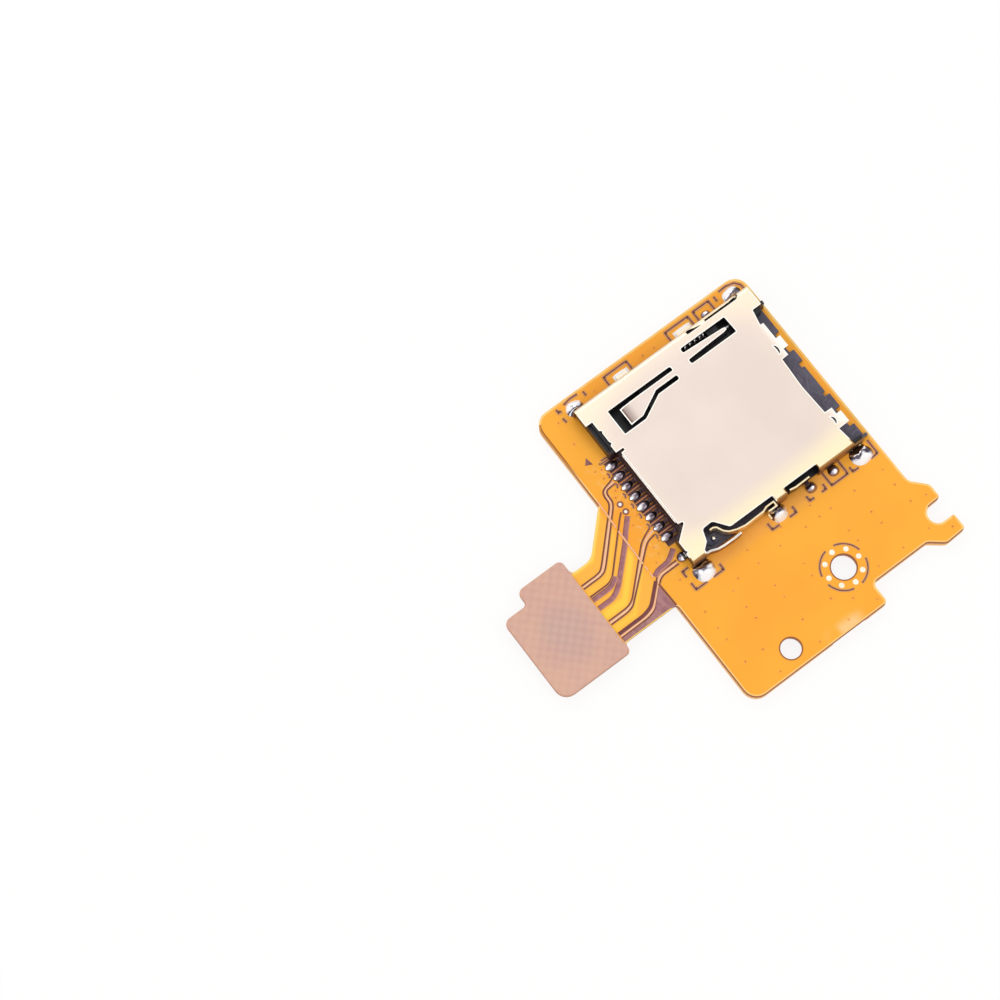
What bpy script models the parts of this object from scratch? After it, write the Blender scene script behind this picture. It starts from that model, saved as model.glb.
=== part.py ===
"""Memory card socket on a small flexible circuit with a plug on its tail.

Lengths are in metres and +Z points up, out of the board. The board's low-X, low-Y corner
is the point all positions count from; the finished part stands with the centre of its box
over the origin and its underside at z = 0. The card goes in along -Y.
"""

import math

import bmesh
import bpy
from mathutils import Matrix

MM = 0.001

# Clearances
BOND_GAP = 0.00002
SLIDE_GAP = 0.00006

# Board
BOARD_LENGTH = 0.0253
BOARD_WIDTH = 0.01845
BOARD_CORNER = 0.0011
FLEX_THICKNESS = 0.0002
STIFFENER_THICKNESS = 0.00058
SHOULDER_INSET = 0.00168
SHOULDER_HEIGHT = 0.01185
HOOK_RISE = 0.00105
HOOK_NOTCH_WIDTH = 0.00149
HOOK_NOTCH_CENTRE = 0.0029
HORN_WIDTH = 0.0012
HOOK_WIDTH = 0.00135
SCREW_HOLE_DIAMETER = 0.0018
SCREW_HOLE_X = 0.0038
SCREW_HOLE_Y = 0.01097
LOCATING_HOLE_DIAMETER = 0.0015
LOCATING_HOLE_X = 0.00148
LOCATING_HOLE_Y = 0.00445
STIFFENER_HOLE_MARGIN = 0.0001
RECESS_DEPTH = 0.0005
RECESS_START = 0.00705
RECESS_END = 0.00995

# Thin film let into the underside of the stiffener
FILM_LENGTH = 0.00975
FILM_WIDTH = 0.0041
FILM_X = 0.0084
FILM_Y = 0.0003
FILM_CORNER = 0.0005
FILM_THICKNESS = 0.00005

# Tail and its end pad
TAIL_REACH = 0.01038
TAIL_WIDTH = 0.00616
TAIL_X = 0.01048
TAIL_SHIFT = 0.0028
PAD_LENGTH = 0.00816
PAD_DEPTH = 0.00588
PAD_X = 0.00921
PAD_NOTCH_WIDTH = 0.00117
PAD_NOTCH_DEPTH = 0.00205
PATCH_THICKNESS = 0.00013
PATCH_MARGIN = 0.00005

# Plug under the pad
PLUG_LENGTH = 0.0047
PLUG_WIDTH = 0.00086
PLUG_HEIGHT = 0.00054
PLUG_X = 0.01345
PLUG_Y = 0.0075
PLUG_PITCH = 0.000415
PLUG_CONTACTS = 8
PLUG_CONTACT_WIDTH = 0.0002
PLUG_CONTACT_THICKNESS = 0.0001
PLUG_CONTACT_REACH = 0.00055

# Socket shell
SHELL_X = 0.00144
SHELL_Y = 0.0025
SHELL_WIDTH = 0.01384
SHELL_LENGTH = 0.01543
SHELL_HEIGHT = 0.00148
SHEET = 0.00015
SHELL_BEND = 0.0003

# The shell's openings and the housing's edges lie on a grid that grows with the shell
STEP_X = SHELL_WIDTH / 13.84
STEP_Y = SHELL_LENGTH / 15.43

# Socket housing
FLOOR_THICKNESS = 0.00022
REAR_WALL = 0.00105
RAIL_THICKNESS = 0.00017
FRONT_BLOCK = 0.00185
FRONT_BLOCK_WIDTH = 0.00194
CONTACT_COUNT = 8
TAIL_PITCH = 0.916 * STEP_X
TAIL_FIRST_X = SHELL_X + 4.49 * STEP_X
CONTACT_PITCH = 1.1 * STEP_X
CONTACT_WIDTH = 0.00036
CONTACT_SHEET = 0.0001
CONTACT_REST_HEIGHT = 0.00054

# Slider, spring and cam pin
SLIDER_WIDTH = 0.00096
SLIDER_LENGTH = 0.0087
SLIDER_HEIGHT = 0.00054
SLIDER_TRAVEL = 0.0028
ARM_LENGTH = 0.0011
ARM_DEPTH = 0.00075
GROOVE_DEPTH = 0.0003
SPRING_RADIUS = 0.0003
SPRING_WIRE = 0.00007
SPRING_TURNS = 24
PIN_RADIUS = 0.00009
PIN_SPAN = 0.0038

# Solder
SOLDER_HEIGHT = 0.00045

FLEX_BOTTOM = STIFFENER_THICKNESS + BOND_GAP
FLEX_TOP = FLEX_BOTTOM + FLEX_THICKNESS
HOUSING_BOTTOM = FLEX_TOP + BOND_GAP
FLOOR_TOP = HOUSING_BOTTOM + FLOOR_THICKNESS
SHELL_TOP = FLEX_TOP + SHELL_HEIGHT + BOND_GAP
CEILING = SHELL_TOP - SHEET
SHELL_FOOT = FLEX_TOP + BOND_GAP
SHELL_END_X = SHELL_X + SHELL_WIDTH
SHELL_END_Y = SHELL_Y + SHELL_LENGTH
HOUSING_X = SHELL_X + SHEET + BOND_GAP
HOUSING_END_X = SHELL_END_X - SHEET - BOND_GAP
HOUSING_Y = SHELL_Y + 0.00015
ORIGIN_X = BOARD_LENGTH / 2
ORIGIN_Y = (BOARD_WIDTH + HOOK_RISE - TAIL_REACH) / 2

# A filled curve joins points that lie closer than 0.03 mm, so outlines are filled larger.
FILL_SCALE = 1000.0

for old in list(bpy.data.objects):
    bpy.data.objects.remove(old)

parts = bpy.data.collections.new("memory_card_socket")
cutters = bpy.data.collections.new("cutters")
bpy.context.scene.collection.children.link(parts)
bpy.context.scene.collection.children.link(cutters)


def make_material(name, colour, roughness, metallic):
    material = bpy.data.materials.new(name)
    material.use_nodes = True
    shader = material.node_tree.nodes["Principled BSDF"]
    shader.inputs["Base Color"].default_value = (*colour, 1.0)
    shader.inputs["Roughness"].default_value = roughness
    shader.inputs["Metallic"].default_value = metallic
    return material


COVERLAY = make_material("orange_coverlay", (0.93, 0.41, 0.05), 0.45, 0.0)
BACKING = make_material("tan_backing", (0.62, 0.33, 0.17), 0.6, 0.0)
PATCH = make_material("pale_backing", (0.70, 0.43, 0.30), 0.6, 0.0)
NICKEL = make_material("nickel_sheet", (0.90, 0.84, 0.76), 0.35, 0.9)
PLASTIC = make_material("black_plastic", (0.03, 0.03, 0.035), 0.45, 0.0)
STEEL = make_material("spring_steel", (0.72, 0.72, 0.72), 0.25, 1.0)
GOLD = make_material("plated_contact", (0.85, 0.72, 0.52), 0.3, 1.0)
SOLDER = make_material("solder", (0.80, 0.81, 0.84), 0.2, 1.0)


def rounded(corners, step_angle=18):
    """Outline from corners (x, y) or (x, y, radius), with arcs at the corners that have one."""
    points = []
    count = len(corners)
    for index, corner in enumerate(corners):
        x, y = corner[0], corner[1]
        radius = corner[2] if len(corner) > 2 else 0.0
        before = corners[index - 1]
        after = corners[(index + 1) % count]
        ax, ay = before[0] - x, before[1] - y
        bx, by = after[0] - x, after[1] - y
        a_length = math.hypot(ax, ay)
        b_length = math.hypot(bx, by)
        cosine = (ax * bx + ay * by) / (a_length * b_length)
        half = math.acos(max(-1.0, min(1.0, cosine))) / 2
        if radius <= 0 or half > math.radians(89):
            points.append((x, y))
            continue
        reach = min(radius / math.tan(half), 0.49 * a_length, 0.49 * b_length)
        radius = reach * math.tan(half)
        ax, ay, bx, by = ax / a_length, ay / a_length, bx / b_length, by / b_length
        mx, my = ax + bx, ay + by
        m_length = math.hypot(mx, my)
        distance = radius / math.sin(half)
        cx = x + mx / m_length * distance
        cy = y + my / m_length * distance
        start = math.atan2(y + ay * reach - cy, x + ax * reach - cx)
        end = math.atan2(y + by * reach - cy, x + bx * reach - cx)
        sweep = (end - start + math.pi) % (2 * math.pi) - math.pi
        steps = max(2, math.ceil(abs(math.degrees(sweep)) / step_angle))
        for k in range(steps + 1):
            angle = start + sweep * k / steps
            points.append((cx + radius * math.cos(angle), cy + radius * math.sin(angle)))
    return points


def rectangle(x0, y0, x1, y1, radius=0.0):
    return rounded([(x0, y0, radius), (x1, y0, radius), (x1, y1, radius), (x0, y1, radius)])


def circle(x, y, radius, sides=32):
    steps = [2 * math.pi * k / sides for k in range(sides)]
    return [(x + radius * math.cos(a), y + radius * math.sin(a)) for a in steps]


def strip(points, thickness):
    """Outline of a strip of even thickness along a path of points."""
    left = []
    right = []
    last = len(points) - 1
    for index, (x, y) in enumerate(points):
        normals = []
        for first in (index - 1, index):
            if 0 <= first < last:
                dx = points[first + 1][0] - points[first][0]
                dy = points[first + 1][1] - points[first][1]
                length = math.hypot(dx, dy)
                normals.append((-dy / length, dx / length))
        nx = sum(n[0] for n in normals)
        ny = sum(n[1] for n in normals)
        length = math.hypot(nx, ny)
        nx, ny = nx / length, ny / length
        spread = thickness / 2 / (nx * normals[0][0] + ny * normals[0][1])
        left.append((x + nx * spread, y + ny * spread))
        right.append((x - nx * spread, y - ny * spread))
    return left + right[::-1]


PLANES = {
    "XY": Matrix(((1, 0, 0, 0), (0, 1, 0, 0), (0, 0, 1, 0), (0, 0, 0, 1))),
    "YZ": Matrix(((0, 0, 1, 0), (1, 0, 0, 0), (0, 1, 0, 0), (0, 0, 0, 1))),
    "XZ": Matrix(((1, 0, 0, 0), (0, 0, 1, 0), (0, 1, 0, 0), (0, 0, 0, 1))),
}


def add_object(name, mesh, material=None):
    """A part when it has a material, else a cutter. Its place counts from the board corner."""
    item = bpy.data.objects.new(name, mesh)
    if material is None:
        item.hide_render = True
        item.display_type = "WIRE"
        cutters.objects.link(item)
    else:
        mesh.materials.clear()
        mesh.materials.append(material)
        parts.objects.link(item)
    item.location = (-ORIGIN_X, -ORIGIN_Y, 0.0)
    return item


def finish_mesh(bm, mesh):
    """Writes the shape with places rounded, so that faces meant to be level are level."""
    for vert in bm.verts:
        vert.co = [round(value, 7) for value in vert.co]
    bm.to_mesh(mesh)
    bm.free()


def prism(name, loops, low, high, material=None, plane="XY"):
    """Flat outline, with any holes as further loops, carried from low to high."""
    curve = bpy.data.curves.new(name, "CURVE")
    curve.dimensions = "2D"
    curve.fill_mode = "BOTH"
    curve.extrude = (high - low) / 2 * FILL_SCALE
    for loop in loops:
        spline = curve.splines.new("POLY")
        spline.points.add(len(loop) - 1)
        for point, (a, b) in zip(spline.points, loop):
            point.co = (a * FILL_SCALE, b * FILL_SCALE, 0.0, 1.0)
        spline.use_cyclic_u = True
    holder = bpy.data.objects.new(name, curve)
    cutters.objects.link(holder)
    graph = bpy.context.evaluated_depsgraph_get()
    graph.update()
    mesh = bpy.data.meshes.new_from_object(holder.evaluated_get(graph))
    bpy.data.objects.remove(holder)
    bpy.data.curves.remove(curve)
    bm = bmesh.new()
    bm.from_mesh(mesh)
    bmesh.ops.remove_doubles(bm, verts=bm.verts, dist=0.0001)
    bmesh.ops.scale(bm, verts=bm.verts, vec=(1 / FILL_SCALE,) * 3)
    bmesh.ops.translate(bm, verts=bm.verts, vec=(0, 0, (low + high) / 2))
    bmesh.ops.transform(bm, verts=bm.verts, matrix=PLANES[plane])
    bmesh.ops.recalc_face_normals(bm, faces=bm.faces)
    finish_mesh(bm, mesh)
    mesh.name = name
    mesh.shade_flat()
    return add_object(name, mesh, material)


def box(name, x0, x1, y0, y1, z0, z1, material=None):
    mesh = bpy.data.meshes.new(name)
    bm = bmesh.new()
    bmesh.ops.create_cube(bm, size=1.0)
    bmesh.ops.scale(bm, verts=bm.verts, vec=(x1 - x0, y1 - y0, z1 - z0))
    centre = ((x0 + x1) / 2, (y0 + y1) / 2, (z0 + z1) / 2)
    bmesh.ops.translate(bm, verts=bm.verts, vec=centre)
    finish_mesh(bm, mesh)
    return add_object(name, mesh, material)


def dome(name, x, y, z, rx, ry, rz, material=None):
    mesh = bpy.data.meshes.new(name)
    bm = bmesh.new()
    bmesh.ops.create_uvsphere(bm, u_segments=20, v_segments=12, radius=1.0)
    bmesh.ops.scale(bm, verts=bm.verts, vec=(rx, ry, rz))
    bmesh.ops.translate(bm, verts=bm.verts, vec=(x, y, z))
    bm.to_mesh(mesh)
    bm.free()
    mesh.shade_smooth()
    return add_object(name, mesh, material)


def wire(name, points, radius, material, facets=2):
    """Round wire along straight runs between points, with filled ends."""
    curve = bpy.data.curves.new(name, "CURVE")
    curve.dimensions = "3D"
    curve.bevel_depth = radius * FILL_SCALE
    curve.bevel_resolution = facets
    curve.use_fill_caps = True
    spline = curve.splines.new("POLY")
    spline.points.add(len(points) - 1)
    for point, place in zip(spline.points, points):
        point.co = (*[value * FILL_SCALE for value in place], 1.0)
    holder = bpy.data.objects.new(name, curve)
    cutters.objects.link(holder)
    graph = bpy.context.evaluated_depsgraph_get()
    graph.update()
    mesh = bpy.data.meshes.new_from_object(holder.evaluated_get(graph))
    bpy.data.objects.remove(holder)
    bpy.data.curves.remove(curve)
    bm = bmesh.new()
    bm.from_mesh(mesh)
    bmesh.ops.remove_doubles(bm, verts=bm.verts, dist=0.0001)
    bmesh.ops.scale(bm, verts=bm.verts, vec=(1 / FILL_SCALE,) * 3)
    bmesh.ops.recalc_face_normals(bm, faces=bm.faces)
    bm.to_mesh(mesh)
    bm.free()
    mesh.name = name
    mesh.shade_smooth()
    return add_object(name, mesh, material)


def combine(body, tool, operation):
    modifier = body.modifiers.new(tool.name, "BOOLEAN")
    modifier.operation = operation
    modifier.solver = "EXACT"
    modifier.object = tool


def cut(body, *tools):
    for tool in tools:
        combine(body, tool, "DIFFERENCE")


def join(body, *tools):
    for tool in tools:
        combine(body, tool, "UNION")


def set_origin(item, x, y):
    """Moves an object's origin to a point counted from the board corner, shape unmoved."""
    item.data.transform(Matrix.Translation((-x, -y, 0.0)))
    item.location = (x - ORIGIN_X, y - ORIGIN_Y, 0.0)


screw_hole = (BOARD_LENGTH - SCREW_HOLE_X, SCREW_HOLE_Y)
locating_hole = (BOARD_LENGTH - LOCATING_HOLE_X, LOCATING_HOLE_Y)


def far_edge():
    """Corners of the board's right and upper edges: shoulder, hook, round notch and horn."""
    top = BOARD_WIDTH + HOOK_RISE
    upper_x = BOARD_LENGTH - SHOULDER_INSET
    notch_x = BOARD_LENGTH - HOOK_NOTCH_CENTRE
    notch_left = notch_x - HOOK_NOTCH_WIDTH / 2
    notch_right = notch_x + HOOK_NOTCH_WIDTH / 2
    notch_floor = BOARD_WIDTH - 0.55 * MM
    hook_x = notch_right + HOOK_WIDTH
    horn_x = notch_left - HORN_WIDTH
    return [
        (BOARD_LENGTH, SHOULDER_HEIGHT, 0.35 * MM),
        (upper_x, SHOULDER_HEIGHT, 0.4 * MM),
        (upper_x, BOARD_WIDTH - 1.75 * MM, 0.4 * MM),
        (hook_x, BOARD_WIDTH - 0.65 * MM, 0.6 * MM),
        (hook_x - 0.08 * MM, top, 0.25 * MM),
        (notch_right, top, 0.15 * MM),
        (notch_right, notch_floor, 0.74 * MM),
        (notch_left, notch_floor, 0.74 * MM),
        (notch_left - 0.04 * MM, top, 0.22 * MM),
        (horn_x, top, 0.5 * MM),
        (horn_x - 1.1 * MM, BOARD_WIDTH, 0.7 * MM),
        (0.0, BOARD_WIDTH, BOARD_CORNER),
    ]


def pad_outline(margin=0.0):
    """Corners of the tail's end pad, from its upper left round to its upper right."""
    left = PAD_X + margin
    right = PAD_X + PAD_LENGTH - margin
    bottom = -TAIL_REACH + margin
    top = -TAIL_REACH + PAD_DEPTH - margin
    notch_x = PAD_X + PAD_NOTCH_WIDTH + margin
    notch_y = -TAIL_REACH + PAD_NOTCH_DEPTH + margin
    return [
        (left, top, 0.4 * MM),
        (left, notch_y, 0.5 * MM),
        (notch_x, notch_y, 0.3 * MM),
        (notch_x, bottom, 0.55 * MM),
        (right, bottom, 0.95 * MM),
        (right, top, 0.5 * MM),
    ]


def make_board():
    tail_right = TAIL_X + TAIL_WIDTH
    tail_root = -TAIL_REACH + PAD_DEPTH
    outline = [(0.0, 0.0, BOARD_CORNER), (TAIL_X - TAIL_SHIFT, 0.0, 0.3 * MM)]
    outline += [(TAIL_X, -TAIL_SHIFT, 1.2 * MM), (TAIL_X, tail_root, 0.35 * MM)]
    outline += pad_outline()
    outline += [(tail_right, tail_root, 0.3 * MM), (tail_right, 0.0, 0.25 * MM)]
    outline += [(BOARD_LENGTH, 0.0, BOARD_CORNER)]
    outline += far_edge()
    holes = [
        circle(*screw_hole, SCREW_HOLE_DIAMETER / 2),
        circle(*locating_hole, LOCATING_HOLE_DIAMETER / 2),
    ]
    prism("flex_circuit", [rounded(outline), *holes], FLEX_BOTTOM, FLEX_TOP, COVERLAY)

    recess_x = BOARD_LENGTH - RECESS_DEPTH
    recess = [
        (BOARD_LENGTH, 0.0, BOARD_CORNER),
        (BOARD_LENGTH, RECESS_START, 0.1 * MM),
        (recess_x, RECESS_START + 0.3 * MM, 0.2 * MM),
        (recess_x, RECESS_END - 0.3 * MM, 0.2 * MM),
        (BOARD_LENGTH, RECESS_END, 0.1 * MM),
    ]
    backing = [(0.0, 0.0, BOARD_CORNER)] + recess + far_edge()
    margin = STIFFENER_HOLE_MARGIN
    holes = [
        circle(*screw_hole, SCREW_HOLE_DIAMETER / 2 + margin),
        circle(*locating_hole, LOCATING_HOLE_DIAMETER / 2 + margin),
    ]
    stiffener = prism(
        "board_stiffener", [rounded(backing), *holes], 0.0, STIFFENER_THICKNESS, BACKING
    )
    film = (FILM_X, FILM_Y, FILM_X + FILM_LENGTH, FILM_Y + FILM_WIDTH)
    grow = BOND_GAP
    bed = rectangle(
        film[0] - grow, film[1] - grow, film[2] + grow, film[3] + grow, FILM_CORNER + grow
    )
    cut(stiffener, prism("film_bed", [bed], -0.2 * MM, FILM_THICKNESS + BOND_GAP))
    prism("back_film", [rectangle(*film, FILM_CORNER)], 0.0, FILM_THICKNESS, PATCH)
    patch = rounded(pad_outline(PATCH_MARGIN))
    low = FLEX_TOP + BOND_GAP
    prism("pad_stiffener", [patch], low, low + PATCH_THICKNESS, PATCH)


def make_plug():
    top = FLEX_BOTTOM - BOND_GAP
    bottom = top - PLUG_HEIGHT
    half = PLUG_LENGTH / 2
    side = PLUG_WIDTH / 2
    end = 0.62 * MM
    cheek = side + 0.03 * MM
    x = PLUG_X
    y = -PLUG_Y
    outline = [
        (x - half, y - cheek, 0.1 * MM),
        (x - half + end, y - cheek, 0.1 * MM),
        (x - half + end, y - side),
        (x + half - end, y - side),
        (x + half - end, y - cheek, 0.1 * MM),
        (x + half, y - cheek, 0.1 * MM),
        (x + half, y + cheek, 0.1 * MM),
        (x + half - end, y + cheek, 0.1 * MM),
        (x + half - end, y + side),
        (x - half + end, y + side),
        (x - half + end, y + cheek, 0.1 * MM),
        (x - half, y + cheek, 0.1 * MM),
    ]
    body = prism("plug_body", [rounded(outline)], bottom, top, PLASTIC)
    lane = 0.1 * MM
    for number, (low, high) in enumerate(((-side + lane, -0.15 * MM), (0.15 * MM, side - lane))):
        name = "plug_lane_%d" % (number + 1)
        reach = half - end
        cut(body, box(name, x - reach, x + reach, y + low, y + high, bottom - MM, bottom + 0.3 * MM))

    first = x - PLUG_PITCH * (PLUG_CONTACTS - 1) / 2
    sheet = PLUG_CONTACT_THICKNESS
    wall = side + BOND_GAP
    reach = wall + PLUG_CONTACT_REACH
    foot = top - sheet
    profile = [
        (wall, top),
        (wall, bottom + 0.03 * MM),
        (wall + sheet, bottom + 0.03 * MM),
        (wall + sheet, foot),
        (reach, foot),
        (reach, top),
    ]
    for row, sign in (("a", 1), ("b", -1)):
        path = [(y + sign * a, b) for a, b in profile]
        for index in range(PLUG_CONTACTS):
            middle = first + PLUG_PITCH * index
            name = "plug_contact_%s%d" % (row, index + 1)
            left = middle - PLUG_CONTACT_WIDTH / 2
            prism(name, [path], left, left + PLUG_CONTACT_WIDTH, GOLD, "YZ")
    for number, sign in ((1, -1), (2, 1)):
        wall = half + BOND_GAP + sheet / 2
        arm = cheek + BOND_GAP + sheet / 2
        arm_x = x + sign * (half - 0.45 * MM)
        path = [
            (arm_x, y - arm),
            (x + sign * (wall - 0.08 * MM), y - arm),
            (x + sign * wall, y - arm + 0.08 * MM),
            (x + sign * wall, y + arm - 0.08 * MM),
            (x + sign * (wall - 0.08 * MM), y + arm),
            (arm_x, y + arm),
        ]
        name = "plug_nail_%d" % number
        nail = prism(name, [strip(path, sheet)], bottom + 0.02 * MM, top, GOLD)
        root = x + sign * wall
        tip = x + sign * (wall + 0.3 * MM)
        for row, low in (("a", y - arm + 0.05 * MM), ("b", y + arm - 0.4 * MM)):
            join(nail, box(name + row, min(root, tip), max(root, tip), low, low + 0.35 * MM,
                           foot, top))


contact_middle = TAIL_FIRST_X + TAIL_PITCH * (CONTACT_COUNT - 1) / 2
tail_places = [TAIL_FIRST_X + TAIL_PITCH * k for k in range(CONTACT_COUNT)]
beam_places = [
    contact_middle + CONTACT_PITCH * (k - (CONTACT_COUNT - 1) / 2) for k in range(CONTACT_COUNT)
]

rear_inside = HOUSING_Y + REAR_WALL
comb_y = SHELL_Y + 0.7 * STEP_Y
comb_left = TAIL_FIRST_X - 0.4 * MM
comb_right = TAIL_FIRST_X + TAIL_PITCH * (CONTACT_COUNT - 1) + 0.4 * MM
block_front = SHELL_END_Y - 0.2 * STEP_Y
block_rear = block_front - FRONT_BLOCK
rail_inside = HOUSING_X + RAIL_THICKNESS
spring_x = rail_inside + SLIDE_GAP + SPRING_RADIUS + SPRING_WIRE + 0.05 * MM
spring_z = FLOOR_TOP + SPRING_RADIUS + SPRING_WIRE + 0.08 * MM
slider_x = spring_x + SPRING_RADIUS + SPRING_WIRE + SLIDE_GAP
slider_end_x = slider_x + SLIDER_WIDTH
slider_front = block_rear - SLIDE_GAP
slider_rear = slider_front - SLIDER_LENGTH
slider_low = FLOOR_TOP + SLIDE_GAP
slider_top = slider_low + SLIDER_HEIGHT
lug_front = slider_front - 1.35 * MM
lug_rear = lug_front - 0.9 * MM
pin_x = slider_x + 0.26 * MM
pin_y = block_rear + 0.5 * MM
pin_z = slider_top + PIN_RADIUS + SLIDE_GAP
switch_tail_x = HOUSING_END_X - 0.95 * MM
switch_bump = (HOUSING_END_X - 0.63 * MM, SHELL_Y + 2.41 * STEP_Y)


def mouth_edge():
    """Front edge of the housing floor, with its notches and its two small posts."""
    edge = SHELL_END_Y + 0.08 * STEP_Y
    back = edge - 0.38 * MM
    middle = edge - 0.17 * MM
    post = SHELL_END_Y + 0.34 * STEP_Y
    return [
        (HOUSING_END_X, block_front),
        (HOUSING_END_X - 0.07 * MM, block_front),
        (HOUSING_END_X - 0.07 * MM, post),
        (HOUSING_END_X - 0.28 * MM, post),
        (HOUSING_END_X - 0.28 * MM, edge),
        (HOUSING_X + 12.2 * STEP_X, edge),
        (HOUSING_X + 12.2 * STEP_X, back),
        (HOUSING_X + 10.6 * STEP_X, back),
        (HOUSING_X + 10.6 * STEP_X, edge),
        (HOUSING_X + 9.43 * STEP_X, edge),
        (HOUSING_X + 9.43 * STEP_X, back),
        (HOUSING_X + 9.12 * STEP_X, back),
        (HOUSING_X + 9.12 * STEP_X, middle),
        (HOUSING_X + 6.79 * STEP_X, middle),
        (HOUSING_X + 6.79 * STEP_X, back),
        (HOUSING_X + 6.37 * STEP_X, back),
        (HOUSING_X + 6.37 * STEP_X, edge),
        (HOUSING_X + 5.36 * STEP_X, edge),
        (HOUSING_X + 5.36 * STEP_X, back),
        (HOUSING_X + 3.69 * STEP_X, back),
        (HOUSING_X + 3.66 * STEP_X, edge),
        (HOUSING_X + 1.6 * STEP_X, edge),
        (HOUSING_X + 1.6 * STEP_X, post),
        (HOUSING_X + 1.27 * STEP_X, post),
        (HOUSING_X + 1.27 * STEP_X, block_front),
        (HOUSING_X, block_front),
    ]


def make_housing():
    wall_top = CEILING - BOND_GAP
    comb = [
        (comb_left, HOUSING_Y),
        (comb_left, comb_y),
        (comb_right, comb_y),
        (comb_right + 0.3 * MM, HOUSING_Y),
    ]
    outline = [(HOUSING_X, HOUSING_Y), *comb, (HOUSING_END_X, HOUSING_Y)] + mouth_edge()
    floor = prism("housing", [outline], HOUSING_BOTTOM, FLOOR_TOP, PLASTIC)
    for index, place in enumerate(beam_places):
        reach = CONTACT_WIDTH / 2 + 0.06 * MM
        cut(floor, box("beam_window_%d" % (index + 1), place - reach, place + reach,
                       SHELL_Y + 2.85 * STEP_Y, SHELL_Y + 5.2 * STEP_Y, HOUSING_BOTTOM - MM, CEILING))

    sink = FLOOR_TOP - 0.05 * MM
    rear = [
        (HOUSING_X, HOUSING_Y),
        *comb,
        (HOUSING_END_X, HOUSING_Y),
        (HOUSING_END_X, rear_inside),
        (HOUSING_X, rear_inside),
    ]
    join(floor, prism("rear_wall", [rear], sink, wall_top))
    join(floor, box("low_rail", HOUSING_X, rail_inside, HOUSING_Y + 0.1 * MM, block_front - 0.1 * MM,
                    sink, wall_top))
    block_x = HOUSING_X + FRONT_BLOCK_WIDTH
    join(floor, box("front_block", HOUSING_X + 0.05 * STEP_X, block_x, block_rear, block_front - 0.05 * MM,
                    sink, wall_top))
    join(floor, box("mouth_post", HOUSING_X + 1.3 * STEP_X, HOUSING_X + 1.58 * STEP_X,
                    block_front - 0.3 * MM, SHELL_END_Y + 0.3 * STEP_Y, sink, wall_top - 0.15 * MM))
    rail_x = HOUSING_END_X - 0.23 * MM
    join(floor, box("high_rail", rail_x, HOUSING_END_X - 0.01 * MM, SHELL_Y + 11.4 * STEP_Y,
                    block_front - 0.12 * MM, sink, wall_top - 0.1 * MM))
    join(floor, box("high_post", rail_x, HOUSING_END_X - 0.01 * MM, SHELL_Y + 7.5 * STEP_Y,
                    SHELL_Y + 8.2 * STEP_Y, sink, wall_top - 0.1 * MM))
    join(floor, box("spring_post", spring_x - 0.12 * MM, spring_x + 0.12 * MM,
                    rear_inside - 0.1 * MM, rear_inside + 0.7 * MM,
                    spring_z - 0.12 * MM, spring_z + 0.12 * MM))

    slope = SHELL_BEND - SHEET - BOND_GAP
    for name, side, sign in (("low_slope", HOUSING_X, 1), ("high_slope", HOUSING_END_X, -1)):
        corner = [
            (side - sign * MM, CEILING - slope),
            (side, CEILING - slope),
            (side + sign * slope, CEILING),
            (side + sign * slope, CEILING + MM),
            (side - sign * MM, CEILING + MM),
        ]
        cut(floor, prism(name, [corner], HOUSING_Y - MM, SHELL_END_Y + MM, None, "XZ"))
    lowered = FLOOR_TOP + 0.7 * MM
    cut(floor, box("comb_step", comb_left + 0.05 * MM, comb_right - 0.05 * MM,
                   HOUSING_Y - MM, rear_inside + MM, CEILING - 0.3 * MM, CEILING + MM))
    cut(floor, box("notch_step", SHELL_X + 1.5 * MM, comb_left - 0.25 * MM,
                   HOUSING_Y - MM, SHELL_Y + 0.42 * STEP_Y, lowered + 0.1 * MM, CEILING + MM))
    slot_top = FLOOR_TOP + BOND_GAP + CONTACT_SHEET + 0.03 * MM
    slot_bottom = FLOOR_TOP
    side = CONTACT_WIDTH / 2 + BOND_GAP
    for index, place in enumerate(tail_places):
        cut(floor, box("tail_slot_%d" % (index + 1), place - side, place + side,
                       HOUSING_Y - MM, rear_inside + MM, slot_bottom, slot_top))
    cut(floor, box("switch_slot", switch_tail_x - side, switch_tail_x + side,
                   HOUSING_Y - MM, rear_inside + MM, slot_bottom, slot_top))
    for index, place in enumerate([*tail_places, switch_tail_x]):
        bay_y = comb_y + 0.2 * MM if index < CONTACT_COUNT else SHELL_Y + 0.45 * STEP_Y
        cut(floor, box("tail_bay_%d" % (index + 1), place - side, place + side,
                       HOUSING_Y - MM, bay_y, HOUSING_BOTTOM - MM, slot_top))
    trough_top = CEILING + MM
    cut(floor, box("pin_trough", slider_x + 0.02 * MM, block_x + MM, block_rear - MM,
                   pin_y + 0.3 * MM, slider_top, trough_top))
    bore = circle(pin_x, pin_y, PIN_RADIUS + 0.03 * MM, 20)
    cut(floor, prism("pin_bore", [bore], slider_top - 0.3 * MM, slider_top + 0.1 * MM))


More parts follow.
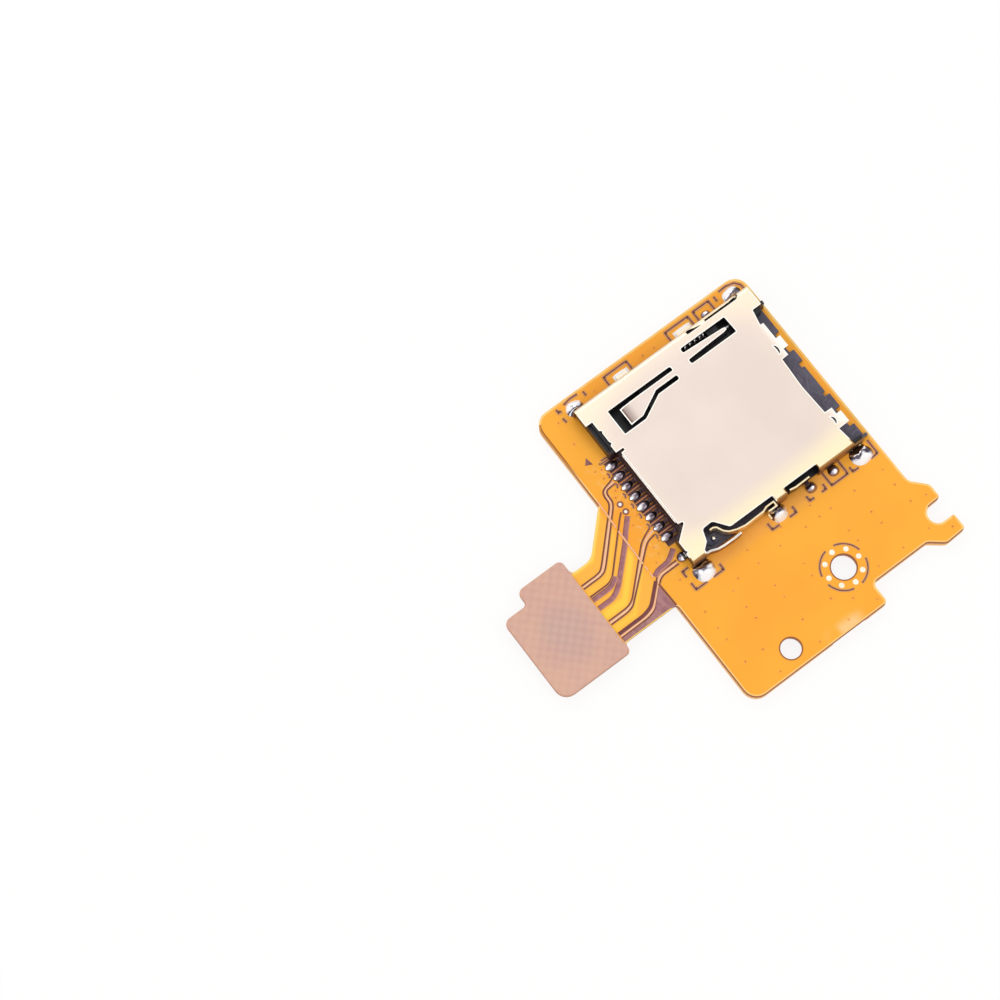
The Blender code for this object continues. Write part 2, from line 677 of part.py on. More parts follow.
def make_contacts():
    low = FLOOR_TOP + BOND_GAP
    high = low + CONTACT_SHEET
    foot = FLEX_TOP + BOND_GAP
    half = CONTACT_WIDTH / 2
    bend = 0.2 * MM
    tail_tip = SHELL_Y - 0.3 * STEP_Y

    def tail_profile(exit_y, inner_end):
        return [
            (inner_end, low),
            (exit_y, low),
            (exit_y - bend, foot),
            (tail_tip, foot),
            (tail_tip, foot + CONTACT_SHEET),
            (exit_y - bend - 0.04 * MM, foot + CONTACT_SHEET),
            (exit_y - 0.04 * MM, high),
            (inner_end, high),
        ]

    tail = tail_profile(comb_y + 0.12 * MM, rear_inside + 0.6 * MM)
    jog_start = rear_inside + 0.3 * MM
    jog_end = SHELL_Y + 2.45 * STEP_Y
    root = jog_end + 0.45 * MM
    crest = SHELL_Y + 4.5 * STEP_Y
    rise = low + CONTACT_REST_HEIGHT
    beam = [
        (jog_end + 0.1 * MM, low),
        (root, low),
        (crest - 0.15 * MM, rise),
        (crest + 0.1 * MM, rise),
        (crest + 0.45 * MM, rise - 0.2 * MM),
        (crest + 0.52 * MM, rise - 0.12 * MM),
        (crest + 0.13 * MM, rise + CONTACT_SHEET),
        (crest - 0.18 * MM, rise + CONTACT_SHEET),
        (root - 0.02 * MM, high),
        (jog_end + 0.1 * MM, high),
    ]
    for index, (at, to) in enumerate(zip(tail_places, beam_places)):
        name = "contact_%d" % (index + 1)
        body = prism(name, [tail], at - half, at + half, GOLD, "YZ")
        jog = [
            (at - half, jog_start),
            (at + half, jog_start),
            (at + half, jog_start + 0.4 * MM),
            (to + half, jog_end),
            (to + half, jog_end + 0.3 * MM),
            (to - half, jog_end + 0.3 * MM),
            (to - half, jog_end),
            (at - half, jog_start + 0.4 * MM),
        ]
        join(body, prism(name + "_jog", [jog], low, high))
        join(body, prism(name + "_beam", [beam], to - half, to + half, None, "YZ"))

    tail = tail_profile(HOUSING_Y + 0.12 * MM, SHELL_Y + 1.75 * STEP_Y)
    plate = prism("switch_plate", [tail], switch_tail_x - half, switch_tail_x + half, GOLD, "YZ")
    bx, by = switch_bump
    leaf = [
        (switch_tail_x - half, SHELL_Y + 1.6 * STEP_Y),
        (switch_tail_x + half, SHELL_Y + 1.6 * STEP_Y),
        (bx + 0.3 * MM, by - 0.4 * MM),
        (bx + 0.3 * MM, by + 0.3 * MM),
        (bx - 0.35 * MM, by + 0.3 * MM),
        (bx - 0.35 * MM, by - 0.2 * MM),
    ]
    join(plate, prism("switch_plate_pad", [leaf], low, high))
    join(plate, dome("switch_plate_bump", bx, by, high - 0.02 * MM, 0.19 * MM, 0.19 * MM, 0.19 * MM))


def shell_point(u, v):
    """Point counted in grid steps from the shell's low-X side and its rear."""
    return (SHELL_X + u * STEP_X, SHELL_Y + v * STEP_Y)


def from_far(u, v):
    """Point counted in grid steps from the shell's high-X side and its rear."""
    return (SHELL_END_X - u * STEP_X, SHELL_Y + v * STEP_Y)


def make_shell():
    outer = SHELL_BEND
    inner = SHELL_BEND - SHEET
    x0, x1 = SHELL_X, SHELL_END_X
    foot, top = SHELL_FOOT, SHELL_TOP
    profile = rounded([
        (x0, foot),
        (x0 + SHEET, foot),
        (x0 + SHEET, top - SHEET, inner),
        (x1 - SHEET, top - SHEET, inner),
        (x1 - SHEET, foot),
        (x1, foot),
        (x1, top, outer),
        (x0, top, outer),
    ])
    shell = prism("shell", [profile], SHELL_Y, SHELL_END_Y, NICKEL, "XZ")
    below = CEILING - 0.32 * MM
    above = SHELL_TOP + MM
    end = SHELL_LENGTH / STEP_Y
    width = SHELL_WIDTH / STEP_X

    mouth = [
        shell_point(1.72, end + 1),
        shell_point(1.72, end - 0.76),
        shell_point(2.83, end - 1.0),
        shell_point(2.93, end - 1.0),
        shell_point(2.93, end - 0.76),
        shell_point(4.37, end - 0.76),
        shell_point(4.37, end - 0.39),
        shell_point(5.31, end - 0.39),
        shell_point(5.31, end - 0.81),
        shell_point(5.84, end - 0.81),
        shell_point(5.87, end - 1.36),
        shell_point(8.3, end - 1.5),
        from_far(3.12, end - 1.4),
        from_far(3.1, end - 0.81),
        from_far(2.56, end - 0.81),
        from_far(2.56, end - 0.42),
        from_far(1.6, end - 0.42),
        from_far(1.6, end - 1.33),
        from_far(0.0, end - 1.15),
        from_far(-1.0, end - 1.15),
        from_far(-1.0, end + 1),
    ]
    cut(shell, prism("mouth_cut", [mouth], below, above))
    cut(shell, box("mouth_wall_cut", x1 - MM, x1 + MM, SHELL_END_Y - 0.25 * STEP_Y, SHELL_END_Y + MM,
                   foot - MM, above))
    rear = [
        shell_point(1.47, -1),
        shell_point(1.47, 0.55),
        shell_point(2.25, 0.55),
        shell_point(2.4, 0.72),
        shell_point(2.55, 0.64),
        shell_point(3.3, 0.64),
        shell_point(3.5, 0.72),
        shell_point(3.62, 0.55),
        shell_point(4.22, 0.55),
        (*shell_point(4.25, 1.18), 0.05 * MM),
        (*shell_point(4.43, 1.18), 0.05 * MM),
        shell_point(4.46, 0.85),
        from_far(2.93, 0.85),
        (*from_far(2.86, 1.22), 0.05 * MM),
        (*from_far(2.72, 1.18), 0.05 * MM),
        (*from_far(1.85, 0.1), 0.1 * MM),
        from_far(1.1, 0.1),
        from_far(1.0, 0.18),
        from_far(0.9, 0.1),
        from_far(0.8, -1),
    ]
    cut(shell, prism("rear_cut", [rounded(rear)], below, above))

    leaf_window = rounded([
        (*shell_point(0.91, 8.78), 0.15 * MM),
        (*shell_point(1.27, 8.78), 0.15 * MM),
        shell_point(1.3, 9.0),
        shell_point(1.89, 9.0),
        (*shell_point(1.92, 8.78), 0.15 * MM),
        (*shell_point(2.28, 8.78), 0.15 * MM),
        (*shell_point(2.28, 12.77), 0.1 * MM),
        (*shell_point(0.91, 12.72), 0.1 * MM),
    ])
    cut(shell, prism("leaf_window", [leaf_window], below, above))
    tongue_window = rounded([
        (*shell_point(1.5, 1.9), 0.06 * MM),
        (*shell_point(3.54, 1.9), 0.06 * MM),
        (*shell_point(3.54, 3.75), 0.4 * MM),
        (*shell_point(2.63, 5.56), 0.2 * MM),
        (*shell_point(2.63, 7.42), 0.15 * MM),
        (*shell_point(2.28, 7.42), 0.15 * MM),
        shell_point(2.26, 7.2),
        shell_point(1.87, 7.2),
        (*shell_point(1.85, 7.42), 0.15 * MM),
        (*shell_point(1.5, 7.42), 0.15 * MM),
    ])
    cut(shell, prism("tongue_window", [tongue_window], below, above))
    rear_opening = rounded([
        from_far(-1.0, 1.3),
        (*from_far(0.34, 1.2), 0.1 * MM),
        (*from_far(0.75, 1.7), 0.2 * MM),
        (*from_far(1.62, 2.0), 0.25 * MM),
        (*from_far(1.66, 2.85), 0.3 * MM),
        (*from_far(0.6, 3.65), 0.25 * MM),
        (*from_far(0.6, 7.33), 0.1 * MM),
        from_far(-1.0, 7.33),
    ])
    cut(shell, prism("rear_opening", [rear_opening], foot - MM, above))
    front_opening = rounded([
        from_far(-1.0, 8.32),
        (*from_far(0.54, 8.32), 0.12 * MM),
        (*from_far(0.54, 11.17), 0.12 * MM),
        from_far(-1.0, 11.17),
    ])
    cut(shell, prism("front_opening", [front_opening], foot - MM, above))
    slit = [
        shell_point(-0.5, 14.35),
        shell_point(0.12, 14.28),
        shell_point(0.17, 14.1),
        shell_point(0.17, 11.46),
        shell_point(0.37, 11.46),
        shell_point(0.39, 14.22),
        shell_point(0.22, 14.48),
        shell_point(-0.5, 14.56),
    ]
    cut(shell, prism("side_slit", [slit], SHELL_TOP - 0.5 * MM, above))
    wedge = [shell_point(0.4, 11.1), shell_point(0.12, 10.02), shell_point(0.17, 9.84),
             shell_point(0.4, 9.88)]
    cut(shell, prism("side_wedge", [wedge], SHELL_TOP - 0.5 * MM, above))

    leaf = [shell_point(1.27, 8.6), shell_point(1.92, 8.6), shell_point(1.76, 12.1),
            shell_point(1.7, 12.35), shell_point(1.52, 12.35), shell_point(1.46, 12.1)]
    leaf_path = [
        (SHELL_Y + 8.5 * STEP_Y, CEILING + SHEET / 2),
        (SHELL_Y + 9.4 * STEP_Y, CEILING + SHEET / 2),
        (SHELL_Y + 10.6 * STEP_Y, CEILING + SHEET / 2 - 0.05 * MM),
        (SHELL_Y + 12.0 * STEP_Y, CEILING + SHEET / 2 - 0.14 * MM),
        (SHELL_Y + 12.5 * STEP_Y, CEILING + SHEET / 2 - 0.13 * MM),
    ]
    leaf_band = prism("leaf_spring", [strip(leaf_path, SHEET)], shell_point(1, 0)[0],
                      shell_point(2.2, 0)[0], None, "YZ")
    combine(leaf_band, prism("leaf_outline", [leaf], CEILING - MM, SHELL_TOP + MM), "INTERSECT")
    join(shell, leaf_band)
    tongue = rounded([
        shell_point(1.85, 2.6),
        (*shell_point(3.24, 2.6), 0.1 * MM),
        (*shell_point(3.24, 3.72), 0.3 * MM),
        (*shell_point(2.28, 5.6), 0.2 * MM),
        shell_point(2.28, 7.6),
        shell_point(1.85, 7.6),
    ])
    tongue_path = [
        (SHELL_Y + 7.7 * STEP_Y, CEILING + SHEET / 2),
        (SHELL_Y + 4.2 * STEP_Y, CEILING + SHEET / 2),
        (SHELL_Y + 3.5 * STEP_Y, CEILING + SHEET / 2 - 0.04 * MM),
        (SHELL_Y + 3.05 * STEP_Y, CEILING + SHEET / 2 - 0.14 * MM),
        (SHELL_Y + 2.75 * STEP_Y, CEILING + SHEET / 2 - 0.28 * MM),
    ]
    tongue_band = prism("tongue_spring", [strip(tongue_path, SHEET)], shell_point(1.6, 0)[0],
                        shell_point(3.5, 0)[0], None, "YZ")
    combine(tongue_band, prism("tongue_outline", [tongue], CEILING - MM, SHELL_TOP + MM), "INTERSECT")
    join(shell, tongue_band)

    arm = [
        from_far(0.08, 1.0),
        from_far(0.14, 1.3),
        from_far(0.12, 1.6),
        from_far(-0.08, 2.1),
        from_far(-0.14, 2.6),
        from_far(-0.16, 3.4),
        from_far(-0.13, 4.1),
    ]
    join(shell, prism("side_arm", [strip(arm, 0.13 * MM)], foot + 0.15 * MM, SHELL_TOP - 0.45 * MM))
    bend_path = [
        (SHELL_Y + 1.1 * STEP_Y, CEILING + SHEET / 2),
        (SHELL_Y + 0.95 * STEP_Y, CEILING + SHEET / 2 - 0.01 * MM),
        (SHELL_Y + 0.85 * STEP_Y, CEILING + SHEET / 2 - 0.06 * MM),
        (SHELL_Y + 0.8 * STEP_Y, CEILING - 0.08 * MM),
    ]
    join(shell, prism("rear_bend", [strip(bend_path, SHEET * 0.8)], shell_point(4.6, 0)[0],
                      from_far(3.1, 0)[0], None, "YZ"))
    for name, x, y0, y1 in shell_feet():
        side = 1 if x > SHELL_X + SHELL_WIDTH / 2 else -1
        tip = x + side * 0.45 * MM
        inside = x - side * 0.1 * MM
        join(shell, box(name, min(tip, inside), max(tip, inside), y0, y1, foot, foot + 0.12 * MM))
    lances = (("lance_1", 5.06, end - 1.27, 0.36), ("lance_2", width - 2.3, end - 1.3, 0.3))
    for name, u, v, reach in lances:
        x, y = shell_point(u, v)
        angles = [math.pi * k / 10 for k in range(11)]
        outer_arc = [(x + reach * MM * math.cos(a), y + 0.2 * MM * math.sin(a)) for a in angles]
        inner_arc = [(x + (reach - 0.03) * MM * math.cos(a), y + 0.05 * MM * math.sin(a))
                     for a in reversed(angles)]
        cut(shell, prism(name, [outer_arc + inner_arc], below, above))
    rear_lip = shell_point(0.3, 0)[0], shell_point(1.4, 0)[0]
    join(shell, box("rear_lip", *rear_lip, SHELL_Y, SHELL_Y + 0.12 * STEP_Y, CEILING - 0.3 * MM,
                    CEILING + 0.05 * MM))


def shell_feet():
    """Name, side wall and start and end along Y of each foot that the board holds."""
    return [
        ("foot_rear_low", SHELL_X, SHELL_Y + 0.1 * STEP_Y, SHELL_Y + 0.8 * STEP_Y),
        ("foot_side_low_1", SHELL_X, SHELL_Y + 4.15 * STEP_Y, SHELL_Y + 5.1 * STEP_Y),
        ("foot_side_low_2", SHELL_X, SHELL_Y + 9.55 * STEP_Y, SHELL_Y + 10.7 * STEP_Y),
        ("foot_front_low", SHELL_X, SHELL_END_Y - 1.2 * STEP_Y, SHELL_END_Y - 0.4 * STEP_Y),
        ("foot_rear_high", SHELL_END_X, SHELL_Y + 0.15 * STEP_Y, SHELL_Y + 0.95 * STEP_Y),
        ("foot_front_high", SHELL_END_X, SHELL_END_Y - 1.3 * STEP_Y, SHELL_END_Y - 0.5 * STEP_Y),
    ]


def make_switch():
    low = FLOOR_TOP + 0.12 * MM
    high = CEILING - 0.06 * MM
    foot = FLEX_TOP + BOND_GAP
    path = [
        from_far(-0.12, 6.5),
        from_far(-0.12, 7.2),
        from_far(0.24, 7.2),
        from_far(0.24, 6.55),
        from_far(0.1, 6.2),
        from_far(0.07, 4.6),
        from_far(0.2, 3.95),
        from_far(0.42, 3.4),
        from_far(0.7, 3.12),
        from_far(1.16, 2.9),
        from_far(1.3, 2.68),
        from_far(1.3, 2.4),
    ]
    leaf = prism("switch_leaf", [strip(path, 0.11 * MM)], low, high, GOLD)
    x, y = from_far(-0.12, 6.5)
    join(leaf, box("switch_leaf_riser", x - 0.05 * MM, x + 0.05 * MM, y + 0.02 * MM, y + 0.6 * MM,
                   foot, low + 0.2 * MM))
    join(leaf, box("switch_leaf_foot", x - 0.04 * MM, x + 0.4 * MM, y + 0.04 * MM, y + 0.58 * MM,
                   foot, foot + 0.1 * MM))
    path = [
        from_far(0.21, 8.62),
        from_far(0.12, 9.1),
        from_far(0.14, 10.3),
    ]
    fixed = prism("switch_contact", [strip(path, 0.11 * MM)], low, high, GOLD)
    x, y = from_far(0.14, 10.3)
    join(fixed, box("switch_contact_riser", x - 0.05 * MM, x + 0.05 * MM, y - 0.4 * MM, y - 0.02 * MM,
                    FLOOR_TOP + BOND_GAP, low + 0.2 * MM))
    join(fixed, box("switch_contact_bridge", x - 0.04 * MM, x + 0.34 * MM, y - 0.38 * MM, y - 0.04 * MM,
                    FLOOR_TOP + BOND_GAP, FLOOR_TOP + BOND_GAP + 0.1 * MM))
    join(fixed, box("switch_contact_drop", x + 0.26 * MM, x + 0.35 * MM, y - 0.37 * MM, y - 0.05 * MM,
                    foot, FLOOR_TOP + BOND_GAP + 0.08 * MM))
    join(fixed, box("switch_contact_foot", x + 0.27 * MM, x + 0.62 * MM, y - 0.38 * MM, y - 0.04 * MM,
                    foot, foot + 0.1 * MM))


def make_slider():
    outline = [
        (slider_x, slider_rear),
        (slider_end_x + ARM_LENGTH, slider_rear),
        (slider_end_x + ARM_LENGTH, slider_rear + ARM_DEPTH),
        (slider_end_x, slider_rear + ARM_DEPTH),
        (slider_end_x, slider_front),
        (slider_x, slider_front),
    ]
    slider = prism("slider", [outline], slider_low, slider_top, PLASTIC)
    join(slider, box("spring_lug", rail_inside + SLIDE_GAP, slider_x + 0.1 * MM, lug_rear, lug_front,
                     slider_low, spring_z + SPRING_RADIUS + SPRING_WIRE))
    groove_rear = pin_y - PIN_SPAN - 0.26 * MM
    groove_front = slider_front - 0.18 * MM
    pocket = rounded([
        (slider_x + 0.1 * MM, groove_rear, 0.1 * MM),
        (slider_end_x - 0.1 * MM, groove_rear, 0.1 * MM),
        (slider_end_x - 0.1 * MM, groove_front, 0.1 * MM),
        (slider_x + 0.1 * MM, groove_front, 0.1 * MM),
    ])
    heart_x = pin_x + PIN_RADIUS + 0.07 * MM
    heart_rear = groove_rear + 0.85 * MM
    heart = [
        (heart_x, heart_rear + 0.1 * MM),
        (heart_x + 0.08 * MM, heart_rear),
        (heart_x + 0.16 * MM, heart_rear + 0.25 * MM),
        (heart_x + 0.16 * MM, groove_front - 0.75 * MM),
        (heart_x + 0.08 * MM, groove_front - 0.95 * MM),
        (heart_x, groove_front - 0.7 * MM),
    ]
    cut(slider, prism("cam_groove", [pocket, heart], slider_top - GROOVE_DEPTH, slider_top + MM))
    set_origin(slider, slider_x, slider_rear)

    start = (pin_x, pin_y, slider_top - 0.22 * MM)
    path = [
        start,
        (pin_x, pin_y, pin_z - 0.04 * MM),
        (pin_x, pin_y - 0.06 * MM, pin_z),
        (pin_x, pin_y - PIN_SPAN + 0.06 * MM, pin_z),
        (pin_x, pin_y - PIN_SPAN, pin_z - 0.04 * MM),
        (pin_x, pin_y - PIN_SPAN, slider_top - 0.2 * MM),
    ]
    pin = wire("cam_pin", path, PIN_RADIUS, STEEL, 3)
    set_origin(pin, pin_x, pin_y)

    first = rear_inside + SPRING_WIRE + BOND_GAP
    last = lug_rear - SPRING_WIRE - BOND_GAP
    steps = 14
    coil = []
    for k in range(SPRING_TURNS * steps + 1):
        turn = k / steps
        share = k / (SPRING_TURNS * steps)
        closed = 1.2
        if turn < closed:
            along = turn * 2.2 * SPRING_WIRE
        elif turn > SPRING_TURNS - closed:
            along = (last - first) - (SPRING_TURNS - turn) * 2.2 * SPRING_WIRE
        else:
            inner = (turn - closed) / (SPRING_TURNS - 2 * closed)
            start_along = closed * 2.2 * SPRING_WIRE
            along = start_along + inner * ((last - first) - 2 * start_along)
        angle = 2 * math.pi * turn
        coil.append((spring_x + SPRING_RADIUS * math.cos(angle), first + along,
                     spring_z + SPRING_RADIUS * math.sin(angle)))
    wire("slider_spring", coil, SPRING_WIRE, STEEL, 1)


def make_solder():
    base = FLEX_TOP
    floor = FLEX_TOP + BOND_GAP
    places = [
        ("solder_front_high", SHELL_END_X + 0.52 * MM, SHELL_END_Y - 0.92 * STEP_Y, 0.66, 0.78, 1.0),
        ("solder_rear_high", SHELL_END_X + 0.5 * MM, SHELL_Y + 0.55 * STEP_Y, 0.62, 0.75, 1.0),
        ("solder_front_low", SHELL_X - 0.38 * MM, SHELL_END_Y - 0.85 * STEP_Y, 0.5, 0.72, 0.9),
        ("solder_rear_low", SHELL_X - 0.36 * MM, SHELL_Y + 0.45 * STEP_Y, 0.5, 0.62, 0.9),
        ("solder_side_low_1", SHELL_X - 0.38 * MM, SHELL_Y + 4.62 * STEP_Y, 0.4, 0.62, 0.55),
        ("solder_side_low_2", SHELL_X - 0.38 * MM, SHELL_Y + 10.12 * STEP_Y, 0.4, 0.7, 0.55),
    ]
    feet = {name: (x, y0, y1) for name, x, y0, y1 in shell_feet()}
    for name, x, y, rx, ry, rz in places:
        joint = dome(name, x, y, base, rx * MM, ry * MM, rz * SOLDER_HEIGHT, SOLDER)
        cut(joint, box(name + "_under", x - MM, x + MM, y - MM, y + MM, base - MM, floor))
        wall, y0, y1 = feet[name.replace("solder", "foot")]
        side = 1 if wall > SHELL_X + SHELL_WIDTH / 2 else -1
        tip = wall + side * (0.45 * MM + BOND_GAP)
        inside = wall - side * MM
        cut(joint, box(name + "_foot", min(tip, inside), max(tip, inside), y0 - BOND_GAP,
                       y1 + BOND_GAP, floor - MM, floor + 0.12 * MM + BOND_GAP))
        face = wall + side * BOND_GAP
        cut(joint, box(name + "_wall", min(face, inside), max(face, inside), y - MM, y + MM,
                       floor - MM, floor + MM))
    x, y = from_far(-0.12, 6.5)
    joint = dome("solder_switch_leaf", x + 0.4 * MM, y + 0.6 * MM, base, 0.54 * MM, 0.62 * MM,
                 SOLDER_HEIGHT, SOLDER)
    cut(joint, box("solder_switch_leaf_under", x - MM, x + 2 * MM, y - MM, y + 2 * MM, base - MM, floor))
    cut(joint, box("solder_switch_leaf_foot", x - MM, x + 0.4 * MM + BOND_GAP, y + 0.02 * MM,
                   y + 0.6 * MM, floor - MM, floor + 0.1 * MM + BOND_GAP))
    cut(joint, box("solder_switch_leaf_wall", x - MM, x + 0.06 * MM + BOND_GAP, y - MM, y + 2 * MM,
                   floor - MM, floor + 2 * MM))
    x, y = from_far(0.14, 10.3)
    joint = dome("solder_switch_contact", x + 0.56 * MM, y - 0.12 * MM, base, 0.36 * MM, 0.4 * MM,
                 SOLDER_HEIGHT, SOLDER)
    cut(joint, box("solder_switch_contact_under", x - MM, x + 2 * MM, y - MM, y + 2 * MM, base - MM, floor))
    cut(joint, box("solder_switch_contact_foot", x - MM, x + 0.62 * MM + BOND_GAP, y - 0.4 * MM,
                   y - 0.02 * MM, floor - MM, floor + 0.1 * MM + BOND_GAP))
    cut(joint, box("solder_switch_contact_drop", x - MM, x + 0.35 * MM + BOND_GAP, y - MM, y + MM,
                   floor - MM, floor + 2 * MM))
    x, y = SHELL_END_X + 0.32 * MM, SHELL_Y + 12.2 * STEP_Y
    joint = dome("solder_peg_high", x, y, base, 0.38 * MM, 0.4 * MM, 0.9 * SOLDER_HEIGHT, SOLDER)
    cut(joint, box("solder_peg_high_under", x - MM, x + MM, y - MM, y + MM, base - MM, floor))
    cut(joint, box("solder_peg_high_wall", x - MM, SHELL_END_X + BOND_GAP, y - MM, y + MM,
                   floor - MM, floor + MM))
    x, y = SHELL_X - 0.34 * MM, SHELL_Y + 12.18 * STEP_Y
    joint = dome("solder_peg_low", x, y, base, 0.3 * MM, 0.36 * MM, 0.6 * SOLDER_HEIGHT, SOLDER)
    cut(joint, box("solder_peg_low_under", x - MM, x + MM, y - MM, y + MM, base - MM, floor))


make_board()
make_plug()
make_housing()
make_contacts()
make_shell()
make_switch()
make_slider()
make_solder()
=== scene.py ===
import bpy
import bmesh
import math
from mathutils import Matrix, Vector, noise


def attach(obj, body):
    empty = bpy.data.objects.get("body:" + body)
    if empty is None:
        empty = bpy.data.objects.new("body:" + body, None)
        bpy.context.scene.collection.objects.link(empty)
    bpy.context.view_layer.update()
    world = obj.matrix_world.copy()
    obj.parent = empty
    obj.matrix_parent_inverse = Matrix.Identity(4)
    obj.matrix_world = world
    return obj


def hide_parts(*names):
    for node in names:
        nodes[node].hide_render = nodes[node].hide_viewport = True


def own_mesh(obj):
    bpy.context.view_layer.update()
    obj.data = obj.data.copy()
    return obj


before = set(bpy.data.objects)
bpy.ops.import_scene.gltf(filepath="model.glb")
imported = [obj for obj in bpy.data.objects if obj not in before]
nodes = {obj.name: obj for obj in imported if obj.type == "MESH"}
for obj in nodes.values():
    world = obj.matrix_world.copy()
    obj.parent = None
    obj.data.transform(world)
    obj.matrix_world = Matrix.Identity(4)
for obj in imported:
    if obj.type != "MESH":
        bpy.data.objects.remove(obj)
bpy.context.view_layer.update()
mm = 0.001

# Places below count in millimetres from the board's low corner; this shifts them to the frame.
boardCorner = Vector((12.65, 4.56, 0.0))
flexTop = 0.8
flexBottom = 0.6
screwHole = (21.5, 10.97)
locatingHole = (23.82, 4.45)
contactPitch = 0.916
plugPitch = 0.415
padY = -4.45  # where the tail's lines end


def at(x, y, z):
    return (Vector((x, y, z)) - boardCorner) * mm


def inRow(start, k):
    # the x of a place that comes again at each contact tail of the socket
    return start + contactPitch * k


def addObject(name, data):
    made = bpy.data.objects.new(name, data)
    bpy.context.scene.collection.objects.link(made)
    return made


cameraSettings = {
    "place": (41.61, -30.24, 177.28),
    "turn": 56.975,
    "tilt": 14.553,
    "roll": -3.88,
    "fieldOfView": 21.83,
    "clip": (0.005, 5.0),
}


def makeCamera(settings):
    turn, tilt, roll = (math.radians(settings[label]) for label in ("turn", "tilt", "roll"))
    level = Vector((math.cos(turn), math.sin(turn), 0))
    ahead = Vector((-math.sin(turn), math.cos(turn), 0))
    forward = ahead * math.sin(tilt) + Vector((0, 0, -1)) * math.cos(tilt)
    upright = ahead * math.cos(tilt) + Vector((0, 0, 1)) * math.sin(tilt)
    right = level * math.cos(roll) + upright * math.sin(roll)
    up = upright * math.cos(roll) - level * math.sin(roll)
    data = bpy.data.cameras.new("camera")
    data.sensor_fit = "HORIZONTAL"
    data.angle = math.radians(settings["fieldOfView"])
    data.clip_start, data.clip_end = settings["clip"]
    camera = addObject("camera", data)
    pose = Matrix((right, up, -forward)).transposed().to_4x4()
    pose.translation = at(*settings["place"])
    camera.matrix_world = pose
    bpy.context.scene.camera = camera


makeCamera(cameraSettings)
print("camera placed")


def entering(operation):
    # a method that enters a value, and what comes with it, in one maths node
    return lambda self, *others: self.tree.maths(operation, self, *others)


class Value:
    # one socket of a node tree, with the maths that it can enter
    def __init__(self, tree, socket):
        self.tree = tree
        self.socket = socket

    __add__ = __radd__ = entering("ADD")
    __sub__ = entering("SUBTRACT")
    __mul__ = __rmul__ = entering("MULTIPLY")
    __truediv__ = entering("DIVIDE")
    __pow__ = entering("POWER")
    __abs__ = entering("ABSOLUTE")
    sine = entering("SINE")
    most = entering("MAXIMUM")

    def __rsub__(self, other):
        return self.tree.maths("SUBTRACT", other, self)

    def under(self, factor, colour):
        # another colour laid over this one where the factor is high
        return self.tree.mix(factor, self, colour)

    def ramp(self, low, high, start=0.0, end=1.0):
        # eases from start to end while the value goes from low to high
        return self.tree.node("ShaderNodeMapRange", {
            "Value": self, "From Min": low, "From Max": high, "To Min": start, "To Max": end,
        }, "Result", interpolation_type="SMOOTHSTEP")

    def fall(self, low, high):
        return self.ramp(low, high, 1.0, 0.0)

    def hill(self, low, high, soft):
        # 1 between low and high, 0 outside, with soft edges
        return self.ramp(low - soft, low + soft) * self.fall(high - soft, high + soft)


class Tree:
    # a node tree that is filled node by node
    def __init__(self, tree):
        self.tree = tree

    def feed(self, socket, value):
        if isinstance(value, Value):
            self.tree.links.new(value.socket, socket)
        elif socket.type == "RGBA" and len(value) == 3:
            socket.default_value = (*value, 1.0)
        else:
            socket.default_value = value

    def node(self, kind, sockets=None, output=0, **settings):
        made = self.tree.nodes.new(kind)
        for key, value in settings.items():
            setattr(made, key, value)
        for key, value in (sockets or {}).items():
            self.feed(made.inputs[key], value)
        if output is None:
            return [Value(self, socket) for socket in made.outputs]
        return Value(self, made.outputs[output]) if made.outputs else made

    def maths(self, operation, *values):
        return self.node("ShaderNodeMath", dict(enumerate(values)), operation=operation)


